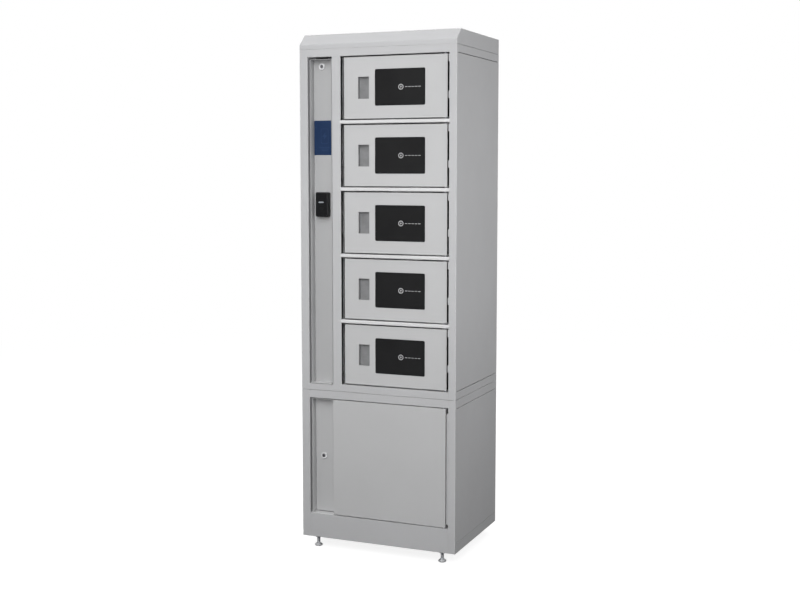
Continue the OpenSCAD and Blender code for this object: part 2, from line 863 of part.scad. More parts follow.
module card_reader() {
    bevel = 2;
    front_v = channel_v1 - reader_t;
    color("#202124") place() {
        round_plate([reader_x0, reader_x0 + reader_w], [front_v + bevel, channel_v1],
            [reader_z0, reader_z0 + reader_h], 6);
        round_plate([reader_x0 + bevel, reader_x0 + reader_w - bevel], [front_v, channel_v1 - 1],
            [reader_z0 + bevel, reader_z0 + reader_h - bevel], 5);
    }
}

// Plain label above the card reader
module label_plate() {
    color("#243a5e") place()
        block([channel_x0 + sheet + 0.3, channel_x1 - sheet - 0.3], [channel_v1 - label_t, channel_v1],
            [label_z, label_z + label_h]);
}

// ---- doors --------------------------------------------------------------------------------------

// Folded door of the cupboard: channel at the left, flat front, turned edges, one stiffener
module lower_door() {
    z0 = lower_door_z0;
    z1 = lower_door_z1;
    stiff_x = 330;
    block_h = 10;
    color("#bcbdbf") place() difference() {
        union() {
            channel(mid_x0, z0, z1, false);
            block([mid_x0 - sheet, mid_x0], [0, channel_v1 + sheet], [z0, z1]);
            block([mid_x0 - sheet, lower_door_x1], [0, sheet], [z0, z1]);
            block([lower_door_x1 - sheet, lower_door_x1], [0, lower_door_t], [z0, z1]);
            block([lower_door_x1 - 12, lower_door_x1], [lower_door_t - sheet, lower_door_t], [z0, z1]);
            for (z = [z0, z1 - sheet])
                block([mid_x0 - sheet, lower_door_x1], [0, lower_door_t], [z, z + sheet]);
            // hat-section stiffener
            block([stiff_x, stiff_x + sheet], [sheet - eps, 14], [z0 + 15, z1 - 15]);
            block([stiff_x + 40, stiff_x + 40 + sheet], [sheet - eps, 14], [z0 + 15, z1 - 15]);
            block([stiff_x, stiff_x + 40 + sheet], [14 - sheet, 14], [z0 + 15, z1 - 15]);
            for (z = [z0, z1 - block_h])
                block([lower_pivot_x - 6, lower_door_x1], [0, 12], [z, z + block_h]);
        }
        lock_hole(lower_lock_z);
        for (z = [z0 - 1, z1 - pin_reach - 0.5])
            upright(lower_pivot_x, lower_pivot_v, z, z + pin_reach + 1.5, pin_r + run_gap);
    }
}

// Bay door: a folded pan with a window, a pull pocket and the striker for the lock bolt
module bay_door(i) {
    z0 = door_z(i);
    z1 = z0 + door_h;
    mid = (z0 + z1) / 2;
    v0 = door_inset;
    v1 = door_inset + door_t;
    turned = 12;
    block_h = 10;
    color("#bdbec0") place() difference() {
        union() {
            difference() {
                block([door_x0, door_x1], [v0, v1], [z0, z1]);
                block([door_x0 + sheet, door_x1 - sheet], [v0 + sheet, v1 - sheet], [z0 + sheet, z1 - sheet]);
                block([door_x0 + turned, door_x1 - turned], [v1 - 2 * sheet, v1 + 1],
                    [z0 + turned, z1 - turned]);
            }
            for (z = [z0, z1 - block_h])
                block([door_pivot_x - 7, door_x1], [v0, v1], [z, z + block_h]);
            block([striker_x0, striker_x0 + striker_t], [v1 - eps, bolt_v + 12], [mid - 15, mid + 15]);
        }
        round_plate([window_x0, window_x0 + window_w], [v0 - 1, v0 + sheet + 1],
            [mid - window_h / 2, mid + window_h / 2], corner_r);
        block([pocket_x0, pocket_x0 + cup_w], [v0 - 1, v0 + sheet + 1], [mid - cup_h / 2, mid + cup_h / 2]);
        block([striker_x0 - 1, striker_x0 + striker_t + 1],
            [bolt_v - striker_slot / 2, bolt_v + striker_slot / 2],
            [mid - striker_slot / 2, mid + striker_slot / 2]);
        for (z = [z0 - 1, z1 - pin_reach - 0.5])
            upright(door_pivot_x, door_pivot_v, z, z + pin_reach + 1.5, pin_r + run_gap);
    }
}

// Smoked window: a plate behind the door skin, with a raised field that fills the opening
module door_window(i) {
    mid = door_z(i) + door_h / 2;
    v0 = door_inset + sheet;
    fit = 0.2;
    color("#2b2c2e") place() {
        block([window_x0 - window_lap, window_x0 + window_w + window_lap], [v0, v0 + window_t],
            [mid - window_h / 2 - window_lap, mid + window_h / 2 + window_lap]);
        round_plate([window_x0 + fit, window_x0 + window_w - fit], [v0 - 0.7, v0 + 1],
            [mid - window_h / 2 + fit, mid + window_h / 2 - fit], corner_r);
    }
}

// Pull cup: a moulded pocket with its flange behind the door skin
module pull_cup(i) {
    mid = door_z(i) + door_h / 2;
    v0 = door_inset + sheet;
    wall = 1.2;
    fit = 0.1;
    lap = 5;
    color("#a9aaac") place() difference() {
        union() {
            block([pocket_x0 - lap, pocket_x0 + cup_w + lap], [v0, v0 + wall],
                [mid - cup_h / 2 - lap, mid + cup_h / 2 + lap]);
            block([pocket_x0 + fit, pocket_x0 + cup_w - fit], [door_inset + 0.4, door_inset + cup_t + wall],
                [mid - cup_h / 2 + fit, mid + cup_h / 2 - fit]);
        }
        block([pocket_x0 + fit + wall, pocket_x0 + cup_w - fit - wall], [door_inset - 1, door_inset + cup_t],
            [mid - cup_h / 2 + fit + wall, mid + cup_h / 2 - fit - wall]);
    }
}

// ---- feet ---------------------------------------------------------------------------------------

module levelling_foot(k) {
    x = k % 2 == 1 ? foot_in_x : body_w - foot_in_x;
    v = k <= 2 ? foot_in_v : body_d - foot_in_v;
    stem_top = 34;
    color("#3a3b3d") place() translate([x, v, -foot_h]) rotate_extrude()
        polygon([
            [0, 0], [foot_r - 2, 0], [foot_r, 2.5], [foot_r, 5], [8, foot_pad_h], [stem_r, foot_pad_h],
            [stem_r, foot_h + stem_top - 1], [stem_r - 1, foot_h + stem_top], [0, foot_h + stem_top]]);
}

plinth();
lower_top_band();
lower_left_post();
lower_right_post();
lower_left_side();
lower_right_side();
lower_rear_panel();
storage_shelf();
upper_bottom_band();
upper_top_band();
upper_left_post();
mid_stile();
upper_right_post();
upper_left_side();
upper_right_side();
upper_rear_panel();
top_cap();
bay_partition();
bay_shelves();
hinge_pins();
lock_bodies();
charging_sockets();
control_board();
power_supply();
fan_housing();
fan_rotor();
mains_inlet();
frame_bolts();
service_panel();
service_lock_barrel();
service_lock_plug();
card_reader();
label_plate();
lower_door();
lower_lock_barrel();
lower_lock_plug();
for (i = BAYS) {
    lock_bolt(i);
    bay_door(i);
    door_window(i);
    pull_cup(i);
}
for (k = [1 : 4])
    levelling_foot(k);
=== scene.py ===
"""Looks of the phone charging kiosk. Pieces sit where the CAD frame says; sizes below are in millimetres."""

import math

import bmesh
import bpy
from mathutils import Matrix, Vector


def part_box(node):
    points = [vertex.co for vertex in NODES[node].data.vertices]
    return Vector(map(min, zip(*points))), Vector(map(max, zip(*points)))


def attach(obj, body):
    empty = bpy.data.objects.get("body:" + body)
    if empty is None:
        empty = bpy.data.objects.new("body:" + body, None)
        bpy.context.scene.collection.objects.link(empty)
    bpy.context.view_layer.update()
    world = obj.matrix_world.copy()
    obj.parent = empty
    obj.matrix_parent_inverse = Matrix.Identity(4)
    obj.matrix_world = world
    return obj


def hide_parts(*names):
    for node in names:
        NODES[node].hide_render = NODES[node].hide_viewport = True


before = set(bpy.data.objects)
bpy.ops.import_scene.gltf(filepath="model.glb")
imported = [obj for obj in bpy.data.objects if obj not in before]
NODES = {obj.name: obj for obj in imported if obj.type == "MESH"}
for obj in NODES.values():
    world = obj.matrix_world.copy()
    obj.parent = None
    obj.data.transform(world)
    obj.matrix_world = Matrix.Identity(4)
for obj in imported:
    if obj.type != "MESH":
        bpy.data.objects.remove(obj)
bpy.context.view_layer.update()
MM = 0.001
BAYS = (1, 2, 3, 4, 5)
FEET = (1, 2, 3, 4)

body_lo, body_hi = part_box("upper_left_post")[0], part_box("upper_right_post")[1]
X0 = body_lo.x
V0 = body_lo.y
Z0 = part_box("plinth")[0].z


def at(x, v, z):
    """Metres from the left edge, front face and underside of the body, in millimetres."""
    return Vector((X0 + x * MM, V0 + v * MM, Z0 + z * MM))


def near(a, b, tol=2e-5):
    return abs(a - b) < tol


# ---- materials ----------------------------------------------------------------------------------


class Nodes:
    """A small wrapper to add and link shader nodes."""

    def __init__(self, name):
        self.mat = bpy.data.materials.new(name)
        self.mat.use_nodes = True
        self.tree = self.mat.node_tree
        self.bsdf = self.tree.nodes["Principled BSDF"]
        self.coord = self.add("ShaderNodeTexCoord").outputs["Object"]

    def add(self, kind, **sockets):
        n = self.tree.nodes.new(kind)
        for key, value in sockets.items():
            n.inputs[key.replace("_", " ")].default_value = value
        return n

    def link(self, a, b):
        self.tree.links.new(a, b)

    def noise(self, scale, detail=3.0, rough=0.5, stretch=None, distort=0.0):
        n = self.add("ShaderNodeTexNoise", Scale=scale, Detail=detail, Roughness=rough, Distortion=distort)
        source = self.coord
        if stretch:
            m = self.add("ShaderNodeMapping")
            m.inputs["Scale"].default_value = stretch
            self.link(source, m.inputs["Vector"])
            source = m.outputs["Vector"]
        self.link(source, n.inputs["Vector"])
        return n.outputs["Fac"]

    def ramp(self, fac, low, high, lo_pos=0.3, hi_pos=0.7):
        r = self.add("ShaderNodeValToRGB")
        r.color_ramp.elements[0].position = lo_pos
        r.color_ramp.elements[1].position = hi_pos
        r.color_ramp.elements[0].color = (*low, 1)
        r.color_ramp.elements[1].color = (*high, 1)
        self.link(fac, r.inputs["Fac"])
        return r.outputs["Color"]

    def spread(self, fac, low, high):
        m = self.add("ShaderNodeMapRange")
        m.inputs["From Min"].default_value = 0.3
        m.inputs["From Max"].default_value = 0.7
        m.inputs["To Min"].default_value = low
        m.inputs["To Max"].default_value = high
        self.link(fac, m.inputs["Value"])
        return m.outputs["Result"]

    def blend(self, a, b, factor, kind="MULTIPLY"):
        m = self.add("ShaderNodeMix")
        m.data_type = "RGBA"
        m.blend_type = kind
        m.inputs["Factor"].default_value = factor
        self.link(a, m.inputs["A"])
        self.link(b, m.inputs["B"])
        return m.outputs["Result"]

    def bump(self, height, strength, distance, after=None):
        b = self.add("ShaderNodeBump", Strength=strength, Distance=distance)
        self.link(height, b.inputs["Height"])
        if after:
            self.link(after, b.inputs["Normal"])
        return b.outputs["Normal"]

    def wire(self, color=None, rough=None, normal=None, **values):
        if color:
            self.link(color, self.bsdf.inputs["Base Color"])
        if rough:
            self.link(rough, self.bsdf.inputs["Roughness"])
        if normal:
            self.link(normal, self.bsdf.inputs["Normal"])
        for key, value in values.items():
            self.bsdf.inputs[key.replace("_", " ")].default_value = value
        return self.mat


def shade(c, k):
    return tuple(min(1.0, x * k) for x in c)


def powder_coat(name, c, peel=0.10, rough=(0.40, 0.50)):
    """Powder-coated steel: fine orange peel, faint mottling, a few handling smudges."""
    n = Nodes(name)
    broad = n.ramp(n.noise(2.6, 4, 0.6), shade(c, 0.965), shade(c, 1.03))
    fleck = n.ramp(n.noise(2600, 1), (0.93, 0.93, 0.93), (1.05, 1.05, 1.05), 0.38, 0.6)
    color = n.blend(broad, fleck, 0.6)
    smudge = n.spread(n.noise(9, 5, 0.65, distort=0.6), rough[0], rough[1])
    grain = n.bump(n.noise(640, 2, 0.45), peel, 0.00022)
    fine = n.bump(n.noise(2100, 2), peel * 0.6, 0.00008, grain)
    return n.wire(color, smudge, fine, Specular_IOR_Level=0.42)


def moulded(name, c, grain=1500, depth=0.00006, rough=(0.45, 0.6), spec=0.4):
    """Moulded plastic with a spark-eroded grain."""
    n = Nodes(name)
    color = n.ramp(n.noise(30, 5, 0.6), shade(c, 0.88), shade(c, 1.12))
    v = n.add("ShaderNodeTexVoronoi", Scale=grain)
    n.link(n.coord, v.inputs["Vector"])
    pits = n.bump(v.outputs["Distance"], 0.25, depth)
    fine = n.bump(n.noise(grain * 2, 2), 0.2, depth * 0.5, pits)
    return n.wire(color, n.spread(n.noise(45, 4), *rough), fine, Specular_IOR_Level=spec)


def metal(name, c, rough=(0.22, 0.36), stretch=(60, 60, 900), grain=0.12, tint=None, plating=1.0):
    """Plated or brushed metal: fine directional grain, patchy tone and roughness."""
    n = Nodes(name)
    base = n.ramp(n.noise(110, 4, 0.6), shade(c, 0.82), c)
    if tint:
        base = n.blend(base, n.ramp(n.noise(70, 3, distort=1.5), tint, (1, 1, 1), 0.35, 0.6), 0.5)
    line = n.noise(3.0, 3, 0.6, stretch)
    return n.wire(base, n.spread(n.noise(260, 4), *rough), n.bump(line, grain, 0.00005), Metallic=plating)


def smoked_acrylic(name):
    """Dark polished sheet, with hairline wipe marks that only show in the gloss."""
    n = Nodes(name)
    color = n.ramp(n.noise(7, 3), (0.0128, 0.0129, 0.0134), (0.0168, 0.0170, 0.0176))
    wipes = n.noise(5, 6, 0.7, (260, 20, 40), 0.4)
    rough = n.spread(wipes, 0.16, 0.24)
    warp = n.bump(n.noise(22, 2), 0.04, 0.0004)
    return n.wire(color, rough, warp, Specular_IOR_Level=0.22, Coat_Weight=0.06, Coat_Roughness=0.05)


def printed_film(name, low, high):
    n = Nodes(name)
    color = n.blend(n.ramp(n.noise(12, 2), low, high), n.ramp(n.noise(4200, 1), (0.9,) * 3, (1.08,) * 3), 0.5)
    return n.wire(color, n.spread(n.noise(90, 4), 0.34, 0.44), n.bump(n.noise(900, 2), 0.05, 0.00005),
                  Specular_IOR_Level=0.25)


def circuit(name):
    """Solder-masked board: copper tracks showing through as a lighter green."""
    n = Nodes(name)
    m = n.add("ShaderNodeMapping")
    m.inputs["Rotation"].default_value = (0, math.pi / 2, 0)
    n.link(n.coord, m.inputs["Vector"])
    b = n.add("ShaderNodeTexBrick", Scale=55.0, Mortar_Size=0.03, Brick_Width=0.9, Row_Height=0.22)
    b.inputs["Color1"].default_value = (0.012, 0.075, 0.035, 1)
    b.inputs["Color2"].default_value = (0.016, 0.095, 0.045, 1)
    b.inputs["Mortar"].default_value = (0.05, 0.20, 0.10, 1)
    n.link(m.outputs["Vector"], b.inputs["Vector"])
    tone = n.ramp(n.noise(60, 4), (0.85,) * 3, (1.1,) * 3)
    color = n.blend(b.outputs["Color"], tone, 0.7)
    return n.wire(color, n.spread(n.noise(200, 3), 0.28, 0.4), n.bump(b.outputs["Fac"], 0.3, 0.00005))


def lamp(name, c, glow):
    n = Nodes(name)
    color = n.ramp(n.noise(400, 2), shade(c, 0.9), c)
    n.link(color, n.bsdf.inputs["Emission Color"])
    return n.wire(color, n.spread(n.noise(300, 2), 0.3, 0.4), Emission_Strength=glow)


FRAME = powder_coat("powder_coat_frame", (0.455, 0.457, 0.466))
DOOR = powder_coat("powder_coat_door", (0.47, 0.472, 0.477), 0.09, (0.38, 0.48))
# a darker copy of the grey paint: painted shade for the recessed channel
CHANNEL = powder_coat("powder_coat_channel_shaded", (0.405, 0.407, 0.412), 0.09, (0.40, 0.50))
# a paler copy of the grey paint: painted highlight on the rolled lips and ledges, where top light catches
# them
LIP_HIGHLIGHT = powder_coat("powder_coat_lip_highlight", (0.60, 0.602, 0.607), 0.08, (0.32, 0.42))
SMOKE = smoked_acrylic("smoked_acrylic")
CUP = moulded("cup_grey_plastic", (0.212, 0.214, 0.219))
BLACK = moulded("black_plastic", (0.014, 0.0142, 0.0155), 1100, 0.00007, (0.42, 0.56))
GLOSS = moulded("reader_lens", (0.009, 0.0092, 0.010), 3000, 0.00001, (0.10, 0.16), 0.5)
RUBBER = moulded("gasket_rubber", (0.011, 0.011, 0.011), 700, 0.0001, (0.7, 0.85), 0.2)
# a pale, mostly diffuse base with little plating: the lock ring's brightness is a painted highlight in place
# of a glint
CHROME_GLINT = metal("lock_chrome", (0.90, 0.90, 0.92), (0.16, 0.26), (300, 300, 300), 0.03, plating=0.2)
PLUG = metal("lock_plug_steel", (0.34, 0.34, 0.36), (0.22, 0.34), (300, 300, 300), 0.05, plating=0.85)
ZINC = metal("zinc_plate", (0.66, 0.67, 0.70), (0.24, 0.38), (80, 80, 700), 0.10, (0.86, 0.90, 1.0))
THREAD = metal("zinc_thread", (0.74, 0.75, 0.77), (0.30, 0.42), (80, 80, 700), 0.10, (0.90, 0.93, 1.0), 0.5)
OXIDE = metal("black_oxide", (0.045, 0.045, 0.048), (0.34, 0.50), (80, 80, 700), 0.10)
CAST = metal("cast_zinc", (0.42, 0.43, 0.45), (0.42, 0.58), (500, 500, 500), 0.22)
BRASS = metal("contact_brass", (0.78, 0.60, 0.30), (0.25, 0.4), (400, 400, 400), 0.06)
ALU = metal("brushed_case", (0.62, 0.63, 0.65), (0.30, 0.42), (700, 30, 700), 0.14)
BOARD = circuit("circuit_board")
LABEL = printed_film("label_blue", (0.0085, 0.026, 0.078), (0.0110, 0.031, 0.088))
LABEL_LINE = printed_film("label_line", (0.015, 0.038, 0.102), (0.019, 0.044, 0.115))
PRINT = printed_film("window_print", (0.34, 0.345, 0.35), (0.40, 0.405, 0.41))
LED = lamp("led_bar", (0.26, 0.28, 0.30), 0.06)
RELAY = moulded("relay_blue", (0.02, 0.07, 0.22), 2000, 0.00003, (0.35, 0.45))
TERMINAL = moulded("terminal_green", (0.02, 0.16, 0.07), 2000, 0.00003, (0.4, 0.5))
FOOT_PAD = metal("foot_pad_zinc", (0.70, 0.71, 0.73), (0.30, 0.44), (120, 120, 500), 0.12, plating=0.5)

# ---- mesh helpers -------------------------------------------------------------------------------


def sharp_edges(bm, degrees=28.0, test=None):
    limit = math.radians(degrees)
    return [
        e
        for e in bm.edges
        if len(e.link_faces) == 2 and e.calc_face_angle(0) > limit and (test is None or test(e))
    ]


def bevel(bm, edges, radius, segs=2):
    if edges:
        bmesh.ops.bevel(bm, geom=edges, offset=radius * MM, offset_type="OFFSET", segments=segs,
                        profile=0.5, affect="EDGES", clamp_overlap=False, loop_slide=True, material=-1)


def piece(name, bm, mat, body, replaces=(), angle=34):
    """Turns a bmesh into a shown piece that rides on a body."""
    bmesh.ops.remove_doubles(bm, verts=bm.verts, dist=2e-7)
    bmesh.ops.recalc_face_normals(bm, faces=bm.faces)
    me = bpy.data.meshes.new(name)
    bm.to_mesh(me)
    bm.free()
    me.shade_smooth()
    me.set_sharp_from_angle(angle=math.radians(angle))
    me.materials.append(mat)
    o = bpy.data.objects.new(name, me)
    bpy.context.scene.collection.objects.link(o)
    w = o.modifiers.new("even_normals", "WEIGHTED_NORMAL")
    w.keep_sharp = True
    w.weight = 80
    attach(o, body)
    if replaces:
        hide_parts(*replaces)


def cad_copy(node):
    """The CAD node's shape with its flat areas merged, ready for edge work."""
    bm = bmesh.new()
    bm.from_mesh(NODES[node].data)
    bmesh.ops.remove_doubles(bm, verts=bm.verts, dist=1e-6)
    bmesh.ops.dissolve_limit(bm, angle_limit=math.radians(0.6), verts=bm.verts, edges=bm.edges,
                             use_dissolve_boundaries=False)
    return bm


def folded(node, mat, body, small=0.3, bends=()):
    """A sheet-metal CAD node with real bend radii: bends are (radius, segments, edge test)."""
    bm = cad_copy(node)
    for radius, segs, test in bends:
        bevel(bm, sharp_edges(bm, 28, test), radius, segs)
    if small:
        bevel(bm, sharp_edges(bm, 50), small, 2)
    piece(node + "_sheet", bm, mat, body, (node,))


def along(axis, *others):
    """Test for an edge along an axis that lies on the given planes, (axis, value) in metres."""
    def test(e):
        a, b = e.verts[0].co, e.verts[1].co
        if (b - a).length < 1e-9 or abs((b - a).normalized()[axis]) < 0.999:
            return False
        return all(near(a[k], value) and near(b[k], value) for k, value in others)
    return test


def any_of(*tests):
    return lambda e: any(t(e) for t in tests)


def turn(axis):
    return Vector((0, 0, 1)).rotation_difference(Vector(axis)).to_matrix().to_4x4()


def rbox(bm, lo, hi, r=0.4, segs=2):
    """A block with rounded edges between two corners in metres."""
    lo, hi = Vector(lo), Vector(hi)
    size = hi - lo
    m = Matrix.Translation((lo + hi) / 2) @ Matrix.Diagonal((*size, 1))
    verts = bmesh.ops.create_cube(bm, size=1.0, matrix=m)["verts"]
    if r:
        edges = list(dict.fromkeys(e for v in verts for e in v.link_edges))
        bevel(bm, edges, r, segs)


def hex_r(t):
    return 1 / math.cos((t + math.pi / 6) % (math.pi / 3) - math.pi / 6)


def cross_r(t):
    """A cross recess as a radius factor: four arms with rounded roots."""
    a = abs((t + math.pi / 4) % (math.pi / 2) - math.pi / 4)
    return min(1.0, 0.2 / max(math.sin(a), 0.2)) if a > 1e-6 else 1.0


def lathe(bm, rings, origin, axis=(0, 0, 1), n=48, closed=False):
    """Rings of (radius, height[, shape]) in millimetres turned about an axis; radius 0 closes an end."""
    m = Matrix.Translation(Vector(origin)) @ turn(axis)
    loops = []
    for ring in rings:
        r, h = ring[0], ring[1]
        form = ring[2] if len(ring) > 2 else None
        if r == 0:
            loops.append([bm.verts.new(m @ Vector((0, 0, h * MM)))])
            continue
        loop = []
        for k in range(n):
            t = 2 * math.pi * k / n
            q = r * (form(t) if form else 1) * MM
            loop.append(bm.verts.new(m @ Vector((q * math.cos(t), q * math.sin(t), h * MM))))
        loops.append(loop)
    pairs = list(zip(loops, loops[1:]))
    if closed:
        pairs.append((loops[-1], loops[0]))
    for a, b in pairs:
        for k in range(n):
            j = (k + 1) % n
            if len(a) == 1 and len(b) == 1:
                continue
            if len(a) == 1:
                bm.faces.new((a[0], b[k], b[j]))
            elif len(b) == 1:
                bm.faces.new((a[k], a[j], b[0]))
            else:
                bm.faces.new((a[k], a[j], b[j], b[k]))


def fillet(points, r, segs=4, closed=False):
    """A polyline with its corners rounded; r is one radius or one for each point."""
    pts = [Vector(p) for p in points]
    n = len(pts)
    out = []
    for i, p in enumerate(pts):
        radius = r[i] if isinstance(r, (list, tuple)) else r
        if radius == 0 or (not closed and i in (0, n - 1)):
            out.append(p)
            continue
        a, b = pts[i - 1] - p, pts[(i + 1) % n] - p
        half = a.angle(b) / 2
        cut = min(radius / math.tan(half), a.length * 0.49, b.length * 0.49)
        radius = cut * math.tan(half)
        start, end = p + a.normalized() * cut, p + b.normalized() * cut
        centre = p + (a.normalized() + b.normalized()).normalized() * (radius / math.sin(half))
        u, w = start - centre, end - centre
        total = u.angle(w)
        side = 1 if u.x * w.y - u.y * w.x > 0 else -1
        for k in range(segs + 1):
            t = side * total * k / segs
            out.append(centre + Vector((u.x * math.cos(t) - u.y * math.sin(t),
                                        u.x * math.sin(t) + u.y * math.cos(t))))
    return out


def rrect(cx, cy, w, h, r, segs=6):
    box = [(cx + a * w / 2, cy + b * h / 2) for a, b in ((-1, -1), (1, -1), (1, 1), (-1, 1))]
    return fillet(box, r, segs, True)


def circle(cx, cy, r, n=40):
    return [Vector((cx + r * math.cos(2 * math.pi * k / n), cy + r * math.sin(2 * math.pi * k / n)))
            for k in range(n)]


def plate(bm, outline, holes, depth, place, edge=0.0, segs=2):
    """A flat plate with holes; place maps (a, b, depth) in millimetres to a point in metres."""
    part = bmesh.new()
    for loop in [outline, *holes]:
        verts = [part.verts.new((p[0], p[1], 0)) for p in loop]
        for k in range(len(verts)):
            part.edges.new((verts[k], verts[(k + 1) % len(verts)]))
    bmesh.ops.triangle_fill(part, use_beauty=True, use_dissolve=True, edges=part.edges[:])
    top = bmesh.ops.extrude_face_region(part, geom=part.faces[:])["geom"]
    for v in top:
        if isinstance(v, bmesh.types.BMVert):
            v.co.z = depth
    bmesh.ops.recalc_face_normals(part, faces=part.faces)
    if edge:
        rims = [e for e in sharp_edges(part, 60) if near(e.verts[0].co.z, e.verts[1].co.z, 1e-6)]
        bmesh.ops.bevel(part, geom=rims, offset=edge, offset_type="OFFSET", segments=segs, profile=0.5,
                        affect="EDGES", clamp_overlap=False, loop_slide=True, material=-1)
    made = {}
    for v in part.verts:
        made[v] = bm.verts.new(place(v.co.x, v.co.y, v.co.z))
    for f in part.faces:
        bm.faces.new([made[v] for v in f.verts])
    part.free()


def facing(v_face, depth_sign=1):
    """A placement for plates that lie in XZ: (x, z) drawn, depth towards the back from v_face."""
    return lambda a, b, d: at(a, v_face + depth_sign * d, b)


def facing_x(x_face, sign=1):
    """A placement for plates that lie in YZ: (v, z) drawn, depth along X from x_face."""
    return lambda a, b, d: at(x_face + sign * d, a, b)


def softened(name, node, mat, body, radius, segs, angle=50):
    """A CAD node with its sharp edges rounded, shown in its place."""
    bm = cad_copy(node)
    bevel(bm, sharp_edges(bm, angle), radius, segs)
    piece(name, bm, mat, body, (node,))


# ---- body sheets --------------------------------------------------------------------------------

BX0, BX1 = X0, body_hi.x
FRONT, BACK = V0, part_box("upper_rear_panel")[1].y
SHEET = 1.5
BACK_V = 450  # the rear face of the rear panels
CHANNEL_V = 34.0  # the face of the recessed channels
PANEL_PIN_INSET = 4  # of the service panel's pin from its right edge and its front

for node in ("lower_left_post", "upper_left_post"):
    folded(node, FRAME, "cabinet", 0.3, [
        (2.2, 5, along(2, (0, BX0), (1, FRONT))),
        (0.9, 3, along(2, (1, FRONT)))])
for node in ("lower_right_post", "upper_right_post"):
    folded(node, FRAME, "cabinet", 0.3, [
        (2.2, 5, along(2, (0, BX1), (1, FRONT))),
        (0.9, 3, along(2, (1, FRONT)))])
folded("mid_stile", FRAME, "cabinet", 0.3, [(0.9, 3, along(2, (1, FRONT)))])
for node in ("plinth", "lower_top_band", "upper_bottom_band", "upper_top_band"):
    folded(node, FRAME, "cabinet", 0.3, [(0.8, 3, along(0, (1, FRONT)))])
for node in ("lower_left_side", "lower_right_side", "upper_left_side", "upper_right_side"):
    folded(node, FRAME, "cabinet", 0.35)
for node in ("lower_rear_panel", "upper_rear_panel"):
    folded(node, FRAME, "cabinet", 0.3, [
        (2.2, 5, any_of(along(2, (0, BX0), (1, BACK)), along(2, (0, BX1), (1, BACK))))])
folded("storage_shelf", FRAME, "cabinet", 0.3)
folded("bay_partition", FRAME, "cabinet", 0.3)

cap_lo, cap_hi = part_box("top_cap")


def cap_outer(e):
    """Test for the cap's outer edges, apart from its open foot."""
    a, b = e.verts[0].co, e.verts[1].co
    if near(a.z, cap_lo.z) and near(b.z, cap_lo.z):
        return False
    on_side = all(near(p.x, cap_lo.x) or near(p.x, cap_hi.x) for p in (a, b))
    across = near(a.y, b.y) and near(a.z, b.z) and (near(a.z, cap_hi.z) or near(a.y, cap_lo.y))
    upright_back = near(a.y, cap_hi.y) and near(b.y, cap_hi.y)
    return on_side and (near(a.x, b.x) or across or upright_back)


folded("top_cap", FRAME, "cabinet", 0.3, [(2.4, 4, cap_outer)])

# bead of sealant in the seam under the cap
bm = bmesh.new()
cap_seam = (cap_lo.z - Z0) / MM
rbox(bm, at(2.4, 1.0, cap_seam - 1.25), at(597.6, 3.05, cap_seam + 0.05), 0.3, 2)
piece("top_cap_sealant", bm, FRAME, "cabinet")

shelf_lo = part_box("bay_shelves")[0]
# the shelf lips take the paler paint, a painted highlight on their rolled fronts
folded("bay_shelves", LIP_HIGHLIGHT, "cabinet", 0.3, [
    (2.7, 6, along(0, (1, FRONT))), (1.0, 3, along(2, (1, FRONT), (0, shelf_lo.x)))])

# ---- doors --------------------------------------------------------------------------------------


def door_rim(node):
    """Test for the edges round a door's front face."""
    lo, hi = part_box(node)

    def test(e):
        a, b = e.verts[0].co, e.verts[1].co
        upright = near(a.x, b.x) and (near(a.x, lo.x) or near(a.x, hi.x))
        level = near(a.z, b.z) and (near(a.z, lo.z) or near(a.z, hi.z))
        return near(a.y, lo.y) and near(b.y, lo.y) and (upright or level)
    return test


for i in BAYS:
    body = f"bay_door_{i}"
    folded(body, DOOR, body, 0.28, [(1.1, 3, door_rim(body))])
folded("lower_door", DOOR, "lower_door", 0.3, [(1.1, 3, door_rim("lower_door")), (
    0.9, 3, along(2, (1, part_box("lower_door")[0].y)))])
# the service panel takes the darker channel paint, painted shade for its recess
folded("service_panel", CHANNEL, "service_panel", 0.3, [
    (0.8, 3, along(2, (1, V0 + CHANNEL_V * MM)))])

# pale strips on the ledges that the two recessed channels end on, a painted highlight where the ledges'
# upward faces catch the light; the panel's has a hole for its pin
p_lo, p_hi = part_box("service_panel")
panel_pin = circle((p_hi.x - X0) / MM - PANEL_PIN_INSET, (p_lo.y - V0) / MM + PANEL_PIN_INSET, 3.0, 24)
for name, body, slot, (a0, a1), (b0, b1), ledge_z, holes in (
        ("service_panel_sill_highlight", "service_panel", "grey_door_paint", (40.8, 124.9), (3.5, 33.8),
         (p_lo.z - Z0) / MM + SHEET, [panel_pin]),
        ("plinth_sill_highlight", "cabinet", "grey_paint", (32.2, 125.6), (1.1, 36.2),
         (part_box("plinth")[1].z - Z0) / MM, [])):
    bm = bmesh.new()
    plate(bm, rrect((a0 + a1) / 2, (b0 + b1) / 2, a1 - a0, b1 - b0, 0.5, 3), holes, 0.4,
          lambda a, b, d: at(a, b, ledge_z - 0.05 + d), 0.12)
    piece(name, bm, LIP_HIGHLIGHT, body)

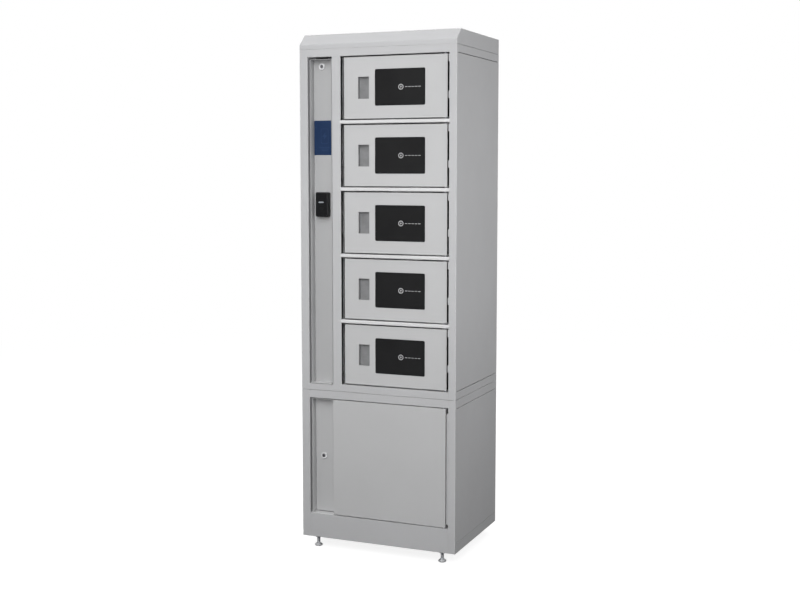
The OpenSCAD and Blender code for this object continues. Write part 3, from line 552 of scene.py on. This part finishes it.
# black rubber strips round the bay doors and behind the edge of the stile beside them: painted shade that
# keeps the door gaps dark
for i in BAYS:
    dlo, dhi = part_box(f"bay_door_{i}")
    d_x0, d_x1 = (dlo.x - X0) / MM, (dhi.x - X0) / MM
    d_z0, d_z1 = (dlo.z - Z0) / MM, (dhi.z - Z0) / MM
    bm = bmesh.new()
    for a, b in ((d_x0 - 0.65, d_x0 + 0.1), (d_x1 - 0.1, d_x1 + 0.65)):
        rbox(bm, at(a, 6.6, d_z0 + 2.5), at(b, 21.5, d_z1 - 2.5), 0.2, 2)
    for a, b in ((d_z0 - 0.6, d_z0 + 0.1), (d_z1 - 0.1, d_z1 + 0.6)):
        rbox(bm, at(d_x0 + 3, 6.6, a), at(d_x1 - 22, 21.5, b), 0.2, 2)
    piece(f"bay_door_{i}_gap_shade_seal", bm, RUBBER, f"bay_door_{i}")
stile_hi = (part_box("mid_stile")[1].x - X0) / MM
# a black strip behind the stile's edge, painted shade for the gap beside the doors
bm = bmesh.new()
for i in BAYS:
    dlo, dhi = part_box(f"bay_door_{i}")
    z0, z1 = (dlo.z - Z0) / MM - 3, (dhi.z - Z0) / MM + 3
    rbox(bm, at(stile_hi - 9, 2.9, z0), at(stile_hi - 0.2, 9, z1), 1.2, 3)
piece("mid_stile_gap_shade_seal", bm, RUBBER, "cabinet")

# windows, their prints, gaskets and the pull cups
CHARGE_BOLT = [(1.3, 6.0), (-4.0, -1.0), (-0.7, -1.0), (-1.7, -6.0), (4.0, 1.4), (0.7, 1.4)]
for i in BAYS:
    body = f"bay_door_{i}"
    wlo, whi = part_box(f"door_window_{i}")
    clo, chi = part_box(f"pull_cup_{i}")
    cz = ((wlo.z + whi.z) / 2 - Z0) / MM
    w_x0, w_x1 = (wlo.x - X0) / MM + 6, (whi.x - X0) / MM - 6
    w_v = (wlo.y - V0) / MM
    w_cx, w_w, w_h = (w_x0 + w_x1) / 2, w_x1 - w_x0, (whi.z - wlo.z) / MM - 12

    bm = bmesh.new()
    plate(bm, rrect(w_cx, cz, w_w + 12, w_h + 12, 3), [], 2.3, facing(w_v + 0.7), 0.25)
    plate(bm, rrect(w_cx, cz, w_w - 2.0, w_h - 2.0, 4.2, 8), [], 1.2, facing(w_v), 0.45, 3)
    piece(f"window_pane_{i}", bm, SMOKE, body, (f"door_window_{i}",))

    bm = bmesh.new()
    plate(bm, rrect(w_cx, cz, w_w - 0.3, w_h - 0.3, 4.9, 8),
          [rrect(w_cx, cz, w_w - 1.9, w_h - 1.9, 4.2, 8)], 1.0, facing(w_v - 0.35), 0.2)
    piece(f"window_gasket_{i}", bm, RUBBER, body)

    bm = bmesh.new()
    mark_x = w_x0 + 98.5
    face = facing(w_v, -1)
    plate(bm, circle(mark_x, cz, 9.8), [circle(mark_x, cz, 6.9)], 0.12, face)
    plate(bm, [(mark_x + a, cz + b) for a, b in CHARGE_BOLT], [], 0.12, face)
    for k in range(5):
        bx = mark_x + 20 + k * 12.4
        plate(bm, rrect(bx, cz, 9.4, 2.0, 0.8, 3), [], 0.12, face)
    piece(f"window_mark_{i}", bm, PRINT, body)

    bm = cad_copy(f"pull_cup_{i}")
    bevel(bm, sharp_edges(bm, 50), 0.45, 3)
    px0, px1 = (clo.x - X0) / MM + 10, (chi.x - X0) / MM - 10
    back_v = (chi.y - V0) / MM - 1.2
    for k in range(5):
        rib_z = cz - 20 + k * 10
        rbox(bm, at(px0, back_v - 0.55, rib_z - 0.6), at(px1, back_v + 0.3, rib_z + 0.6), 0.25)
    piece(f"pull_cup_{i}_moulding", bm, CUP, body, (f"pull_cup_{i}",))

# ---- locks --------------------------------------------------------------------------------------

BACKWARD = (0, 1, 0)


def lock(which, panel_body, lock_body):
    lo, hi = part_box(f"{which}_lock_barrel")
    x = ((lo.x + hi.x) / 2 - X0) / MM
    z = ((lo.z + hi.z) / 2 - Z0) / MM
    v_head, v_sheet, v_tail = (lo.y - V0) / MM, CHANNEL_V, (hi.y - V0) / MM
    head_t = v_sheet - v_head
    bm = bmesh.new()
    tube = fillet([(6.06, v_tail - v_sheet), (9.3, v_tail - v_sheet), (9.3, 0), (12, 0), (12, -head_t),
                   (8.3, -head_t), (7.6, -head_t + 0.9), (6.06, -head_t + 0.9)],
                  [0.3, 0.5, 0, 0.4, 1.6, 0.5, 0.3, 0.2], 5, True)
    lathe(bm, tube, at(x, v_sheet, z), BACKWARD, 64, closed=True)
    for k in range(5):
        h = 6.8 + k * 0.95
        ring = [(9.25, h - 0.3), (9.6, h), (9.25, h + 0.3)]
        lathe(bm, ring, at(x, v_sheet, z), BACKWARD, 48, closed=True)
    nut = [(9.36, 1.55), (12.3, 1.55, hex_r), (12.75, 2.1, hex_r), (12.75, 5.7, hex_r), (12.3, 6.3, hex_r),
           (9.36, 6.3)]
    lathe(bm, nut, at(x, v_sheet, z), BACKWARD, 48, closed=True)
    piece(f"{which}_lock_body", bm, CHROME_GLINT, panel_body, (f"{which}_lock_barrel",))

    plo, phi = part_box(f"{which}_lock_plug")
    face_v = (plo.y - V0) / MM
    softened(f"{which}_lock_plug_cam", f"{which}_lock_plug", PLUG, lock_body, 0.25, 2)
    bm = bmesh.new()
    slot = rrect(x, z, 1.3, 7.0, 0.5, 3)
    plate(bm, slot, [], 0.5, facing(face_v + 2.4), 0.08)
    piece(f"{which}_lock_keyway", bm, BLACK, lock_body)
    bm = bmesh.new()
    tail = (phi.y - V0) / MM
    lathe(bm, [(3.9, -0.1, hex_r), (4.2, 0.3, hex_r), (4.2, 1.6, hex_r), (3.6, 2.2, hex_r), (0, 2.2)],
          at(x, tail, z), BACKWARD, 36)
    lathe(bm, [(0, -0.1), (3.9, -0.1, hex_r)], at(x, tail, z), BACKWARD, 36)
    piece(f"{which}_lock_cam_nut", bm, ZINC, lock_body)


lock("service", "service_panel", "service_lock")
lock("lower", "lower_door", "lower_lock")

# ---- card reader and label ----------------------------------------------------------------------

rlo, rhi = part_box("card_reader")
r_x0, r_x1 = (rlo.x - X0) / MM, (rhi.x - X0) / MM
r_z0, r_z1 = (rlo.z - Z0) / MM, (rhi.z - Z0) / MM
r_v0, r_v1 = (rlo.y - V0) / MM, (rhi.y - V0) / MM
r_cx, r_cz = (r_x0 + r_x1) / 2, (r_z0 + r_z1) / 2
r_w, r_h = r_x1 - r_x0, r_z1 - r_z0
bm = bmesh.new()
plate(bm, rrect(r_cx, r_cz, r_w, r_h, 6, 8), [], 5.0, facing(r_v1, -1), 0.5)
plate(bm, rrect(r_cx, r_cz, r_w - 1.2, r_h - 1.2, 5.6, 8), [], 1.4, facing(r_v1 - 4.6, -1), 0.0)
plate(bm, rrect(r_cx, r_cz, r_w, r_h, 6, 8), [], 18.0, facing(r_v1 - 5.8, -1), 2.2, 5)
piece("card_reader_housing", bm, BLACK, "service_panel", ("card_reader",))
bm = bmesh.new()
plate(bm, rrect(r_cx, r_cz, r_w - 7, r_h - 7, 3.5, 6), [], 0.5, facing(r_v0 + 0.35, -1), 0.2)
piece("card_reader_lens", bm, GLOSS, "service_panel")
bm = bmesh.new()
plate(bm, rrect(r_cx - 1.5, r_cz + 8.5, 20, 5.2, 2.5, 6), [], 0.35, facing(r_v0 - 0.1, -1), 0.12)
piece("card_reader_light", bm, LED, "service_panel")
bm = bmesh.new()
for radius in (6.0, 10.0, 14.0):
    arc = []
    for edge_r, steps in ((radius + 0.55, range(13)), (radius - 0.55, range(12, -1, -1))):
        for s in steps:
            t = math.radians(48 + s * 7)
            arc.append(Vector((r_cx + edge_r * math.cos(t), r_cz - 24 + edge_r * math.sin(t))))
    plate(bm, arc, [], 0.1, facing(r_v0 - 0.15, -1))
piece("card_reader_waves", bm, RUBBER, "service_panel")

llo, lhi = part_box("label_plate")
l_x0, l_x1 = (llo.x - X0) / MM, (lhi.x - X0) / MM
l_z0, l_z1 = (llo.z - Z0) / MM, (lhi.z - Z0) / MM
l_v0 = (llo.y - V0) / MM
l_cx, l_cz = (l_x0 + l_x1) / 2, (l_z0 + l_z1) / 2
bm = bmesh.new()
plate(bm, rrect(l_cx, l_cz, l_x1 - l_x0, l_z1 - l_z0, 1.5, 4), [], 0.8, facing(l_v0 + 0.8, -1), 0.15)
piece("label_film", bm, LABEL, "service_panel", ("label_plate",))
bm = bmesh.new()
face = facing(l_v0, -1)
plate(bm, rrect(l_cx, l_cz, 74, 115, 3, 4), [rrect(l_cx, l_cz, 72.4, 113.4, 2.4, 4)], 0.08, face)
plate(bm, rrect(l_cx, l_cz + 6, 30, 54, 5, 5), [rrect(l_cx, l_cz + 6, 26.5, 50.5, 3.6, 5)], 0.08, face)
plate(bm, [(l_cx + 2.4 * a, l_cz + 6 + 2.4 * b) for a, b in CHARGE_BOLT], [], 0.08, face)
for k in range(3):
    plate(bm, rrect(l_cx, l_cz - 34 - 6 * k, 44 - 10 * k, 2.2, 1, 3), [], 0.08, face)
piece("label_design", bm, LABEL_LINE, "service_panel")

# ---- pins, feet, fasteners ----------------------------------------------------------------------

# the doors' pins are bright, the service panel's two are blacked
panel_pin_x = p_hi.x - PANEL_PIN_INSET * MM
for name, mat, black, node in (("hinge_pins_turned", ZINC, False, ("hinge_pins",)),
                               ("hinge_pins_blacked", OXIDE, True, ())):
    bm = cad_copy("hinge_pins")
    other = [v for v in bm.verts if near(v.co.x, panel_pin_x, 6 * MM) != black]
    bmesh.ops.delete(bm, geom=other, context="VERTS")
    bevel(bm, sharp_edges(bm, 50), 0.3, 2)
    piece(name, bm, mat, "cabinet", node)

for k in FEET:
    body = f"levelling_foot_{k}"
    lo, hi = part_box(body)
    x, y = (lo.x + hi.x) / 2, (lo.y + hi.y) / 2
    base = Vector((x, y, lo.z))
    bm = bmesh.new()
    pad = fillet([(0, 0), (12.0, 0), (14.5, 2.6), (14.5, 4.9), (8.2, 10.4), (6.9, 11.0), (0, 11.0)],
                 [0, 1.2, 1.2, 1.2, 2.0, 0.3, 0], 5)
    lathe(bm, pad, base, n=64)
    piece(f"foot_pad_{k}", bm, FOOT_PAD, body, (body,))
    bm = bmesh.new()
    top = (hi.z - lo.z) / MM
    rings = [(0, 10.5), (5.2, 10.5), (5.2, 12.5)]
    h = 12.6
    while h < top - 1.8:
        rings += [(5.1, h), (5.95, h + 0.6), (5.95, h + 0.8), (5.1, h + 1.4)]
        h += 1.75
    rings += [(5.1, top - 1.0), (4.3, top), (0, top)]
    lathe(bm, rings, base, n=40)
    piece(f"foot_stem_{k}", bm, THREAD, body)

# jam and weld nuts of the feet, and the bolts that join the modules
bm = bmesh.new()
for k in FEET:
    lo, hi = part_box(f"levelling_foot_{k}")
    x, v = ((lo.x + hi.x) / 2 - X0) / MM, ((lo.y + hi.y) / 2 - V0) / MM
    for z0, z1 in ((-6, 0), (3, 11)):
        nut = [(6.08, z0), (9.1, z0), (9.5, z0 + 0.6, hex_r), (9.5, z1 - 0.6, hex_r), (9.1, z1), (6.08, z1)]
        lathe(bm, nut, at(x, v, 0), closed=True)
join_z = (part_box("upper_bottom_band")[0].z - Z0) / MM
for x in (60, 540):
    for v in (60, 390):
        head = [(0, 1.5), (7.0, 1.5), (7.0, 2.1), (6.1, 2.1), (6.45, 2.3, hex_r), (6.45, 6.2, hex_r),
                (6.0, 6.8), (2.6, 6.8), (2.6, 5.4), (0, 5.4)]
        lathe(bm, head, at(x, v, join_z))
        shank = [(0, -13.5), (3.3, -13.5), (4.0, -12.8), (4.0, 1.7), (0, 1.7)]
        lathe(bm, shank, at(x, v, join_z))
        nut = [(4.02, -9.2), (6.2, -9.2), (6.5, -8.7, hex_r), (6.5, -3.3, hex_r), (6.2, -2.72), (4.02, -2.72)]
        lathe(bm, nut, at(x, v, join_z), closed=True)
piece("frame_fasteners", bm, ZINC, "cabinet", ("frame_bolts",))


def flush_screw(bm, x, z, r=4.2):
    """A low countersunk screw head with a cross recess, standing 0.5 proud of the back."""
    rings = [(0, -0.6), (r * 0.9, -0.6), (r, 0), (r * 0.93, 0.32), (r * 0.6, 0.5), (r * 0.52, 0.5),
             (r * 0.46, 0.45, cross_r), (r * 0.34, -0.35, cross_r), (0, -0.45)]
    lathe(bm, rings, at(x, BACK_V, z), BACKWARD, 32)


# two columns at the panels' sides, rows along their tops and bottoms, and two in the cap
side_rows = (30, 190, 350, 515, *(580 + k * 166 for k in range(8)))
bm = bmesh.new()
for columns, rows in (((9, 591), side_rows),
                      ((60, 220, 380, 540), (14, 536, 562, 1762)),
                      ((100, 500), (1806,))):
    for x in columns:
        for z in rows:
            flush_screw(bm, x, z)
piece("rear_screws", bm, ZINC, "cabinet")

# ---- inside the service column ------------------------------------------------------------------

LEFTWARD = (-1, 0, 0)
CASE_SCREW = [(0, 0), (2.6, 0), (3.6, 0.4), (3.6, 1.4), (2.8, 2.2), (1.4, 2.3), (1.2, 1.2, hex_r),
              (0, 1.2)]
part_x = (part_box("bay_partition")[1].x - X0) / MM - SHEET

for i in BAYS:
    cz = ((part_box(f"bay_door_{i}")[0].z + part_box(f"bay_door_{i}")[1].z) / 2 - Z0) / MM
    bm = bmesh.new()
    rbox(bm, at(128, 27, cz - 26), at(part_x, 60, cz + 26), 1.2, 3)
    rbox(bm, at(part_x - 3, 27, cz - 38), at(part_x, 60, cz + 38), 0.6, 2)
    for dz in (32, -32):
        lathe(bm, CASE_SCREW, at(part_x - 3, 52, cz + dz), LEFTWARD, 24)
    for k in range(6):
        rbox(bm, at(127.5, 32 + k * 4, cz - 18), at(128.2, 34 + k * 4, cz + 18), 0.2)
    piece(f"lock_case_{i}", bm, CAST, "cabinet", ("lock_bodies",))
    softened(f"lock_bolt_{i}_turned", f"lock_bolt_{i}", ZINC, f"lock_bolt_{i}", 0.35, 2, 24)

softened("charging_socket_plates", "charging_sockets", BLACK, "cabinet", 0.5, 3)
shells = bmesh.new()
tongues = bmesh.new()
s_face = (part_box("charging_sockets")[1].x - X0) / MM
for i in BAYS:
    base = (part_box(f"bay_door_{i}")[0].z - Z0) / MM
    cz = base + 108
    for k in range(4):
        cv = 302 + 9 + k * 17
        plate(shells, rrect(cv, cz, 12.8, 5.8, 0.9, 4), [rrect(cv, cz, 12.0, 5.0, 0.5, 4)], 9.5,
              facing_x(s_face + 0.25, -1), 0.1)
        rbox(tongues, at(s_face - 9, cv - 5.2, cz - 0.2), at(s_face - 1.2, cv + 5.2, cz + 1.7), 0.25)
piece("socket_shells", shells, ZINC, "cabinet")
piece("socket_tongues", tongues, GLOSS, "cabinet")

board_x = part_x - 9
bm = bmesh.new()
plate(bm, rrect(170, 1180, 120, 180, 3, 4), [circle(v, z, 1.7, 20) for v in (118, 222) for z in (1098, 1262)],
      1.6, facing_x(board_x), 0.15)
piece("control_board_card", bm, BOARD, "cabinet", ("control_board",))
posts = bmesh.new()
for v in (118, 222):
    for z in (1098, 1262):
        lathe(posts, [(0, 0), (3, 0, hex_r), (3, 7.4, hex_r), (0, 7.4)], at(board_x + 1.6, v, z),
              (1, 0, 0), 24)
        lathe(posts, [(0, 0), (3.0, 0), (3.0, 0.9), (2.2, 1.7), (0, 1.9)], at(board_x, v, z), LEFTWARD, 24)
piece("control_board_posts", posts, BRASS, "cabinet")
relays = bmesh.new()
for k in range(5):
    rbox(relays, at(board_x - 16, 118, 1110 + k * 28), at(board_x, 134, 1130 + k * 28), 0.8, 3)
piece("control_board_relays", relays, RELAY, "cabinet")
terms = bmesh.new()
screws = bmesh.new()
for k in range(2):
    for s in range(8):
        z = 1110 + k * 72 + s * 8
        rbox(terms, at(board_x - 11, 208, z), at(board_x, 220, z + 7.7), 0.5, 2)
        lathe(screws, [(0, 0), (2.5, 0), (2.5, 0.5), (1.9, 0.8), (1.6, 0.8), (1.5, 0.3, cross_r), (0, 0.2)],
              at(board_x - 11, 214, z + 3.85), LEFTWARD, 24)
piece("control_board_terminals", terms, TERMINAL, "cabinet")
piece("control_board_terminal_screws", screws, ZINC, "cabinet")
chips = bmesh.new()
legs = bmesh.new()
rbox(chips, at(board_x - 3.2, 157, 1167), at(board_x - 0.4, 183, 1193), 0.3, 2)
for k in range(12):
    a, b = 158.5 + k * 2.05, 1168.5 + k * 2.05
    for leg_z, leg_v in ((1193, 183), (1164.5, 154.5)):
        rbox(legs, at(board_x - 1.4, a, leg_z), at(board_x, a + 0.9, leg_z + 2.5), 0.1, 1)
        rbox(legs, at(board_x - 1.4, leg_v, b), at(board_x, leg_v + 2.5, b + 0.9), 0.1, 1)
for v, z in ((150, 1125), (164, 1125), (178, 1125), (150, 1145), (190, 1218), (150, 1245), (196, 1150)):
    rbox(chips, at(board_x - 2.2, v, z), at(board_x, v + 7, z + 5), 0.25, 2)
    for s in range(4):
        a = v + 0.5 + s * 1.7
        rbox(legs, at(board_x - 1, a, z - 1.2), at(board_x, a + 0.7, z + 6.2), 0.1, 1)
piece("control_board_chips", chips, BLACK, "cabinet")
piece("control_board_legs", legs, ZINC, "cabinet")
cans = bmesh.new()
for v, z, r, h in ((170, 1230, 7, 14), (188, 1236, 4, 10), (152, 1222, 4, 10)):
    outline = [(0, 0), (r, 0), (r, 2), (r - 0.5, 2.6), (r, 3.2), (r, h), (r - 1, h), (r - 1.4, h - 0.3),
               (0, h - 0.3)]
    can = fillet(outline, [0, 0.3, 0.2, 0.3, 0.2, 0.7, 0.2, 0.1, 0], 3)
    lathe(cans, can, at(board_x, v, z), LEFTWARD, 36)
piece("control_board_capacitors", cans, ALU, "cabinet")

softened("power_supply_case", "power_supply", ALU, "cabinet", 0.5, 3)
ps_z = (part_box("power_supply")[0].z - Z0) / MM
terms, screws = bmesh.new(), bmesh.new()
for s in range(9):
    z = ps_z + 12 + s * 10.2
    rbox(terms, at(part_x - 34, 181.5, z), at(part_x - 12.2, 197.8, z + 9.6), 0.5, 2)
    lathe(screws, [(0, 0), (3.2, 0), (3.2, 1.2), (2.6, 1.8), (2.0, 1.8), (1.9, 0.9, cross_r), (0, 0.8)],
          at(part_x - 34, 189.5, z + 4.8), LEFTWARD, 24)
piece("power_supply_terminals", terms, BLACK, "cabinet")
piece("power_supply_terminal_screws", screws, ZINC, "cabinet")

# ---- fan and mains inlet ------------------------------------------------------------------------

flo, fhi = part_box("fan_housing")
fan_x, fan_z = ((flo.x + fhi.x) / 2 - X0) / MM, ((flo.z + fhi.z) / 2 - Z0) / MM
softened("fan_frame", "fan_housing", BLACK, "cabinet", 0.6, 3)
screws = bmesh.new()
for a in (-1, 1):
    for b in (-1, 1):
        flush_screw(screws, fan_x + a * 41, fan_z + b * 41, 3.6)
piece("fan_screws", screws, ZINC, "cabinet")

q_v0 = (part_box("fan_rotor")[0].y - V0) / MM
bm = bmesh.new()
hub = fillet([(1.58, 0), (17, 0), (17, 15), (12, 15), (11, 14.2), (1.58, 14.2)],
             [0, 0.6, 2.2, 0.4, 0.4, 0], 4, True)
lathe(bm, hub, at(fan_x, q_v0, fan_z), BACKWARD, 64, closed=True)
for k in range(7):
    grid = []
    for s in range(9):
        r = 16.4 + s * (42.4 - 16.4) / 8
        row = []
        twist = math.radians(44 - 1.9 * s)
        chord = 15.5 + 0.55 * s
        sweep = math.radians(k * 360 / 7 + 2.2 * s)
        for c in range(9):
            u = (c / 8 - 0.5) * chord
            camber = 1.6 * (1 - (2 * c / 8 - 1) ** 2)
            thick = 0.15 + 0.75 * math.sqrt(max(0.0, 1 - (2 * c / 8 - 1) ** 2))
            row.append((r, u, camber, thick, twist, sweep))
        grid.append(row)
    faces = []
    for side in (1, -1):
        surface = []
        for row in grid:
            line = []
            for r, u, camber, thick, twist, sweep in row:
                off = camber + side * thick
                tang = u * math.cos(twist) - off * math.sin(twist)
                depth = u * math.sin(twist) + off * math.cos(twist)
                depth = max(-6.9, min(6.9, depth))
                a = sweep + tang / r
                spot = at(fan_x + r * math.cos(a), q_v0 + 7.5 + depth, fan_z + r * math.sin(a))
                line.append(bm.verts.new(spot))
            surface.append(line)
        faces.append(surface)
    up, down = faces
    for s in range(8):
        for c in range(8):
            bm.faces.new((up[s][c], up[s + 1][c], up[s + 1][c + 1], up[s][c + 1]))
            bm.faces.new((down[s][c], down[s][c + 1], down[s + 1][c + 1], down[s + 1][c]))
        for c in (0, 8):
            bm.faces.new((up[s][c], up[s + 1][c], down[s + 1][c], down[s][c]))
    for s in (0, 8):
        for c in range(8):
            bm.faces.new((up[s][c], up[s][c + 1], down[s][c + 1], down[s][c]))
piece("fan_blades", bm, BLACK, "fan_rotor", ("fan_rotor",))

softened("mains_inlet_moulding", "mains_inlet", BLACK, "cabinet", 0.35, 2)
ilo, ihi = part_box("mains_inlet")
i_x, i_z = ((ilo.x + ihi.x) / 2 - X0) / MM, ((ilo.z + ihi.z) / 2 - Z0) / MM
bm = bmesh.new()
for dx, dz in ((-7, -2), (0, 2), (7, -2)):
    rbox(bm, at(i_x + dx - 1.15, 434.5, i_z + dz - 2.15), at(i_x + dx + 1.15, 445.5, i_z + dz + 2.15), 0.4, 2)
piece("mains_inlet_pins", bm, BRASS, "cabinet")

# ---- stage --------------------------------------------------------------------------------------

floor_mesh = bpy.data.meshes.new("floor")
bm = bmesh.new()
bmesh.ops.create_grid(bm, x_segments=8, y_segments=8, size=30)
bm.to_mesh(floor_mesh)
bm.free()
floor = bpy.data.objects.new("floor", floor_mesh)
bpy.context.scene.collection.objects.link(floor)
# the floor fades to plain white with distance; only the camera sees it lit, bounced light sees a dull grey
paint = Nodes("studio_floor")
far = paint.add("ShaderNodeVectorMath")
far.operation = "LENGTH"
paint.link(paint.coord, far.inputs[0])
fade = paint.add("ShaderNodeMapRange")
fade.inputs["From Min"].default_value = 1.6
fade.inputs["From Max"].default_value = 6.0
paint.link(far.outputs["Value"], fade.inputs["Value"])
glow = paint.add("ShaderNodeEmission", Strength=0.86)
matte = paint.add("ShaderNodeBsdfDiffuse", Color=(0.24, 0.24, 0.24, 1))
close = paint.add("ShaderNodeAddShader")
paint.link(glow.outputs[0], close.inputs[0])
paint.link(matte.outputs[0], close.inputs[1])
clean = paint.add("ShaderNodeEmission", Strength=1.0)
shown = paint.add("ShaderNodeMixShader")
paint.link(fade.outputs["Result"], shown.inputs["Fac"])
paint.link(close.outputs[0], shown.inputs[1])
paint.link(clean.outputs[0], shown.inputs[2])
dull = paint.add("ShaderNodeBsdfDiffuse", Color=(0.09, 0.09, 0.09, 1))
ray = paint.add("ShaderNodeLightPath")
both = paint.add("ShaderNodeMixShader")
paint.link(ray.outputs["Is Camera Ray"], both.inputs["Fac"])
paint.link(dull.outputs[0], both.inputs[1])
paint.link(shown.outputs[0], both.inputs[2])
paint.link(both.outputs[0], paint.tree.nodes["Material Output"].inputs["Surface"])
paint.tree.nodes.remove(paint.bsdf)
floor_mesh.materials.append(paint.mat)


def area(name, where, aim, size, power, gloss=True, spread=180):
    """A rectangular lamp in watts; gloss=False keeps it out of reflections, spread narrows its beam."""
    data = bpy.data.lights.new(name, "AREA")
    data.shape = "RECTANGLE"
    data.size, data.size_y = size
    data.energy = power
    data.spread = math.radians(spread)
    o = bpy.data.objects.new(name, data)
    o.visible_glossy = gloss
    o.location = where
    o.rotation_euler = (Vector(aim) - Vector(where)).to_track_quat("-Z", "Y").to_euler()
    bpy.context.scene.collection.objects.link(o)


area("key", (0.6, -3.6, 3.5), (0.0, 0.0, 1.3), (2.4, 2.8), 96)
area("front_fill", (0.6, -3.6, 1.5), (0.0, -0.2, 1.25), (2.4, 1.4), 10, gloss=False, spread=70)
area("low_key", (-2.9, -3.2, 2.35), (0.0, -0.2, 1.1), (1.2, 1.2), 8)
area("side_fill", (2.7, -0.6, 1.6), (0.2, 0.0, 1.3), (1.4, 1.4), 8.3, spread=80)
area("left_fill", (-3.0, 0.2, 2.8), (0.0, 0.0, 1.2), (1.8, 1.8), 45)
area("rear_fill", (-1.2, 3.2, 3.0), (0.0, 0.0, 1.2), (2.0, 2.0), 90)

# the camera sees a white world; as light it is a soft dome, brighter from above
world = bpy.data.worlds.new("studio")
world.use_nodes = True
wt = world.node_tree
wt.nodes.clear()
out = wt.nodes.new("ShaderNodeOutputWorld")
mix = wt.nodes.new("ShaderNodeMixShader")
path = wt.nodes.new("ShaderNodeLightPath")
seen = wt.nodes.new("ShaderNodeBackground")
seen.inputs["Color"].default_value = (1, 1, 1, 1)
light = wt.nodes.new("ShaderNodeBackground")
light.inputs["Color"].default_value = (1, 1, 1, 1)
direction = wt.nodes.new("ShaderNodeTexCoord")
split = wt.nodes.new("ShaderNodeSeparateXYZ")
dome = wt.nodes.new("ShaderNodeMapRange")
dome.inputs["From Min"].default_value = 0.0
dome.inputs["From Max"].default_value = 1.0
dome.inputs["To Min"].default_value = 0.14
dome.inputs["To Max"].default_value = 0.78
wt.links.new(direction.outputs["Generated"], split.inputs[0])
wt.links.new(split.outputs["Z"], dome.inputs["Value"])
wt.links.new(dome.outputs["Result"], light.inputs["Strength"])
wt.links.new(path.outputs["Is Camera Ray"], mix.inputs["Fac"])
wt.links.new(light.outputs["Background"], mix.inputs[1])
wt.links.new(seen.outputs["Background"], mix.inputs[2])
wt.links.new(mix.outputs["Shader"], out.inputs["Surface"])
bpy.context.scene.world = world
bpy.context.scene.view_settings.view_transform = "Standard"

cam_data = bpy.data.cameras.new("camera")
cam_data.sensor_width = 36.0
cam_data.lens = 54.6255
cam_data.shift_y = -0.02
cam = bpy.data.objects.new("camera", cam_data)
cam.location = (1.7393, -4.1372, 1.3889)
yaw, pitch = math.radians(22.856), math.radians(5.407)
look = Vector((-math.sin(yaw) * math.cos(pitch), math.cos(yaw) * math.cos(pitch), -math.sin(pitch)))
cam.rotation_euler = look.to_track_quat("-Z", "Y").to_euler()
bpy.context.scene.collection.objects.link(cam)
bpy.context.scene.camera = cam
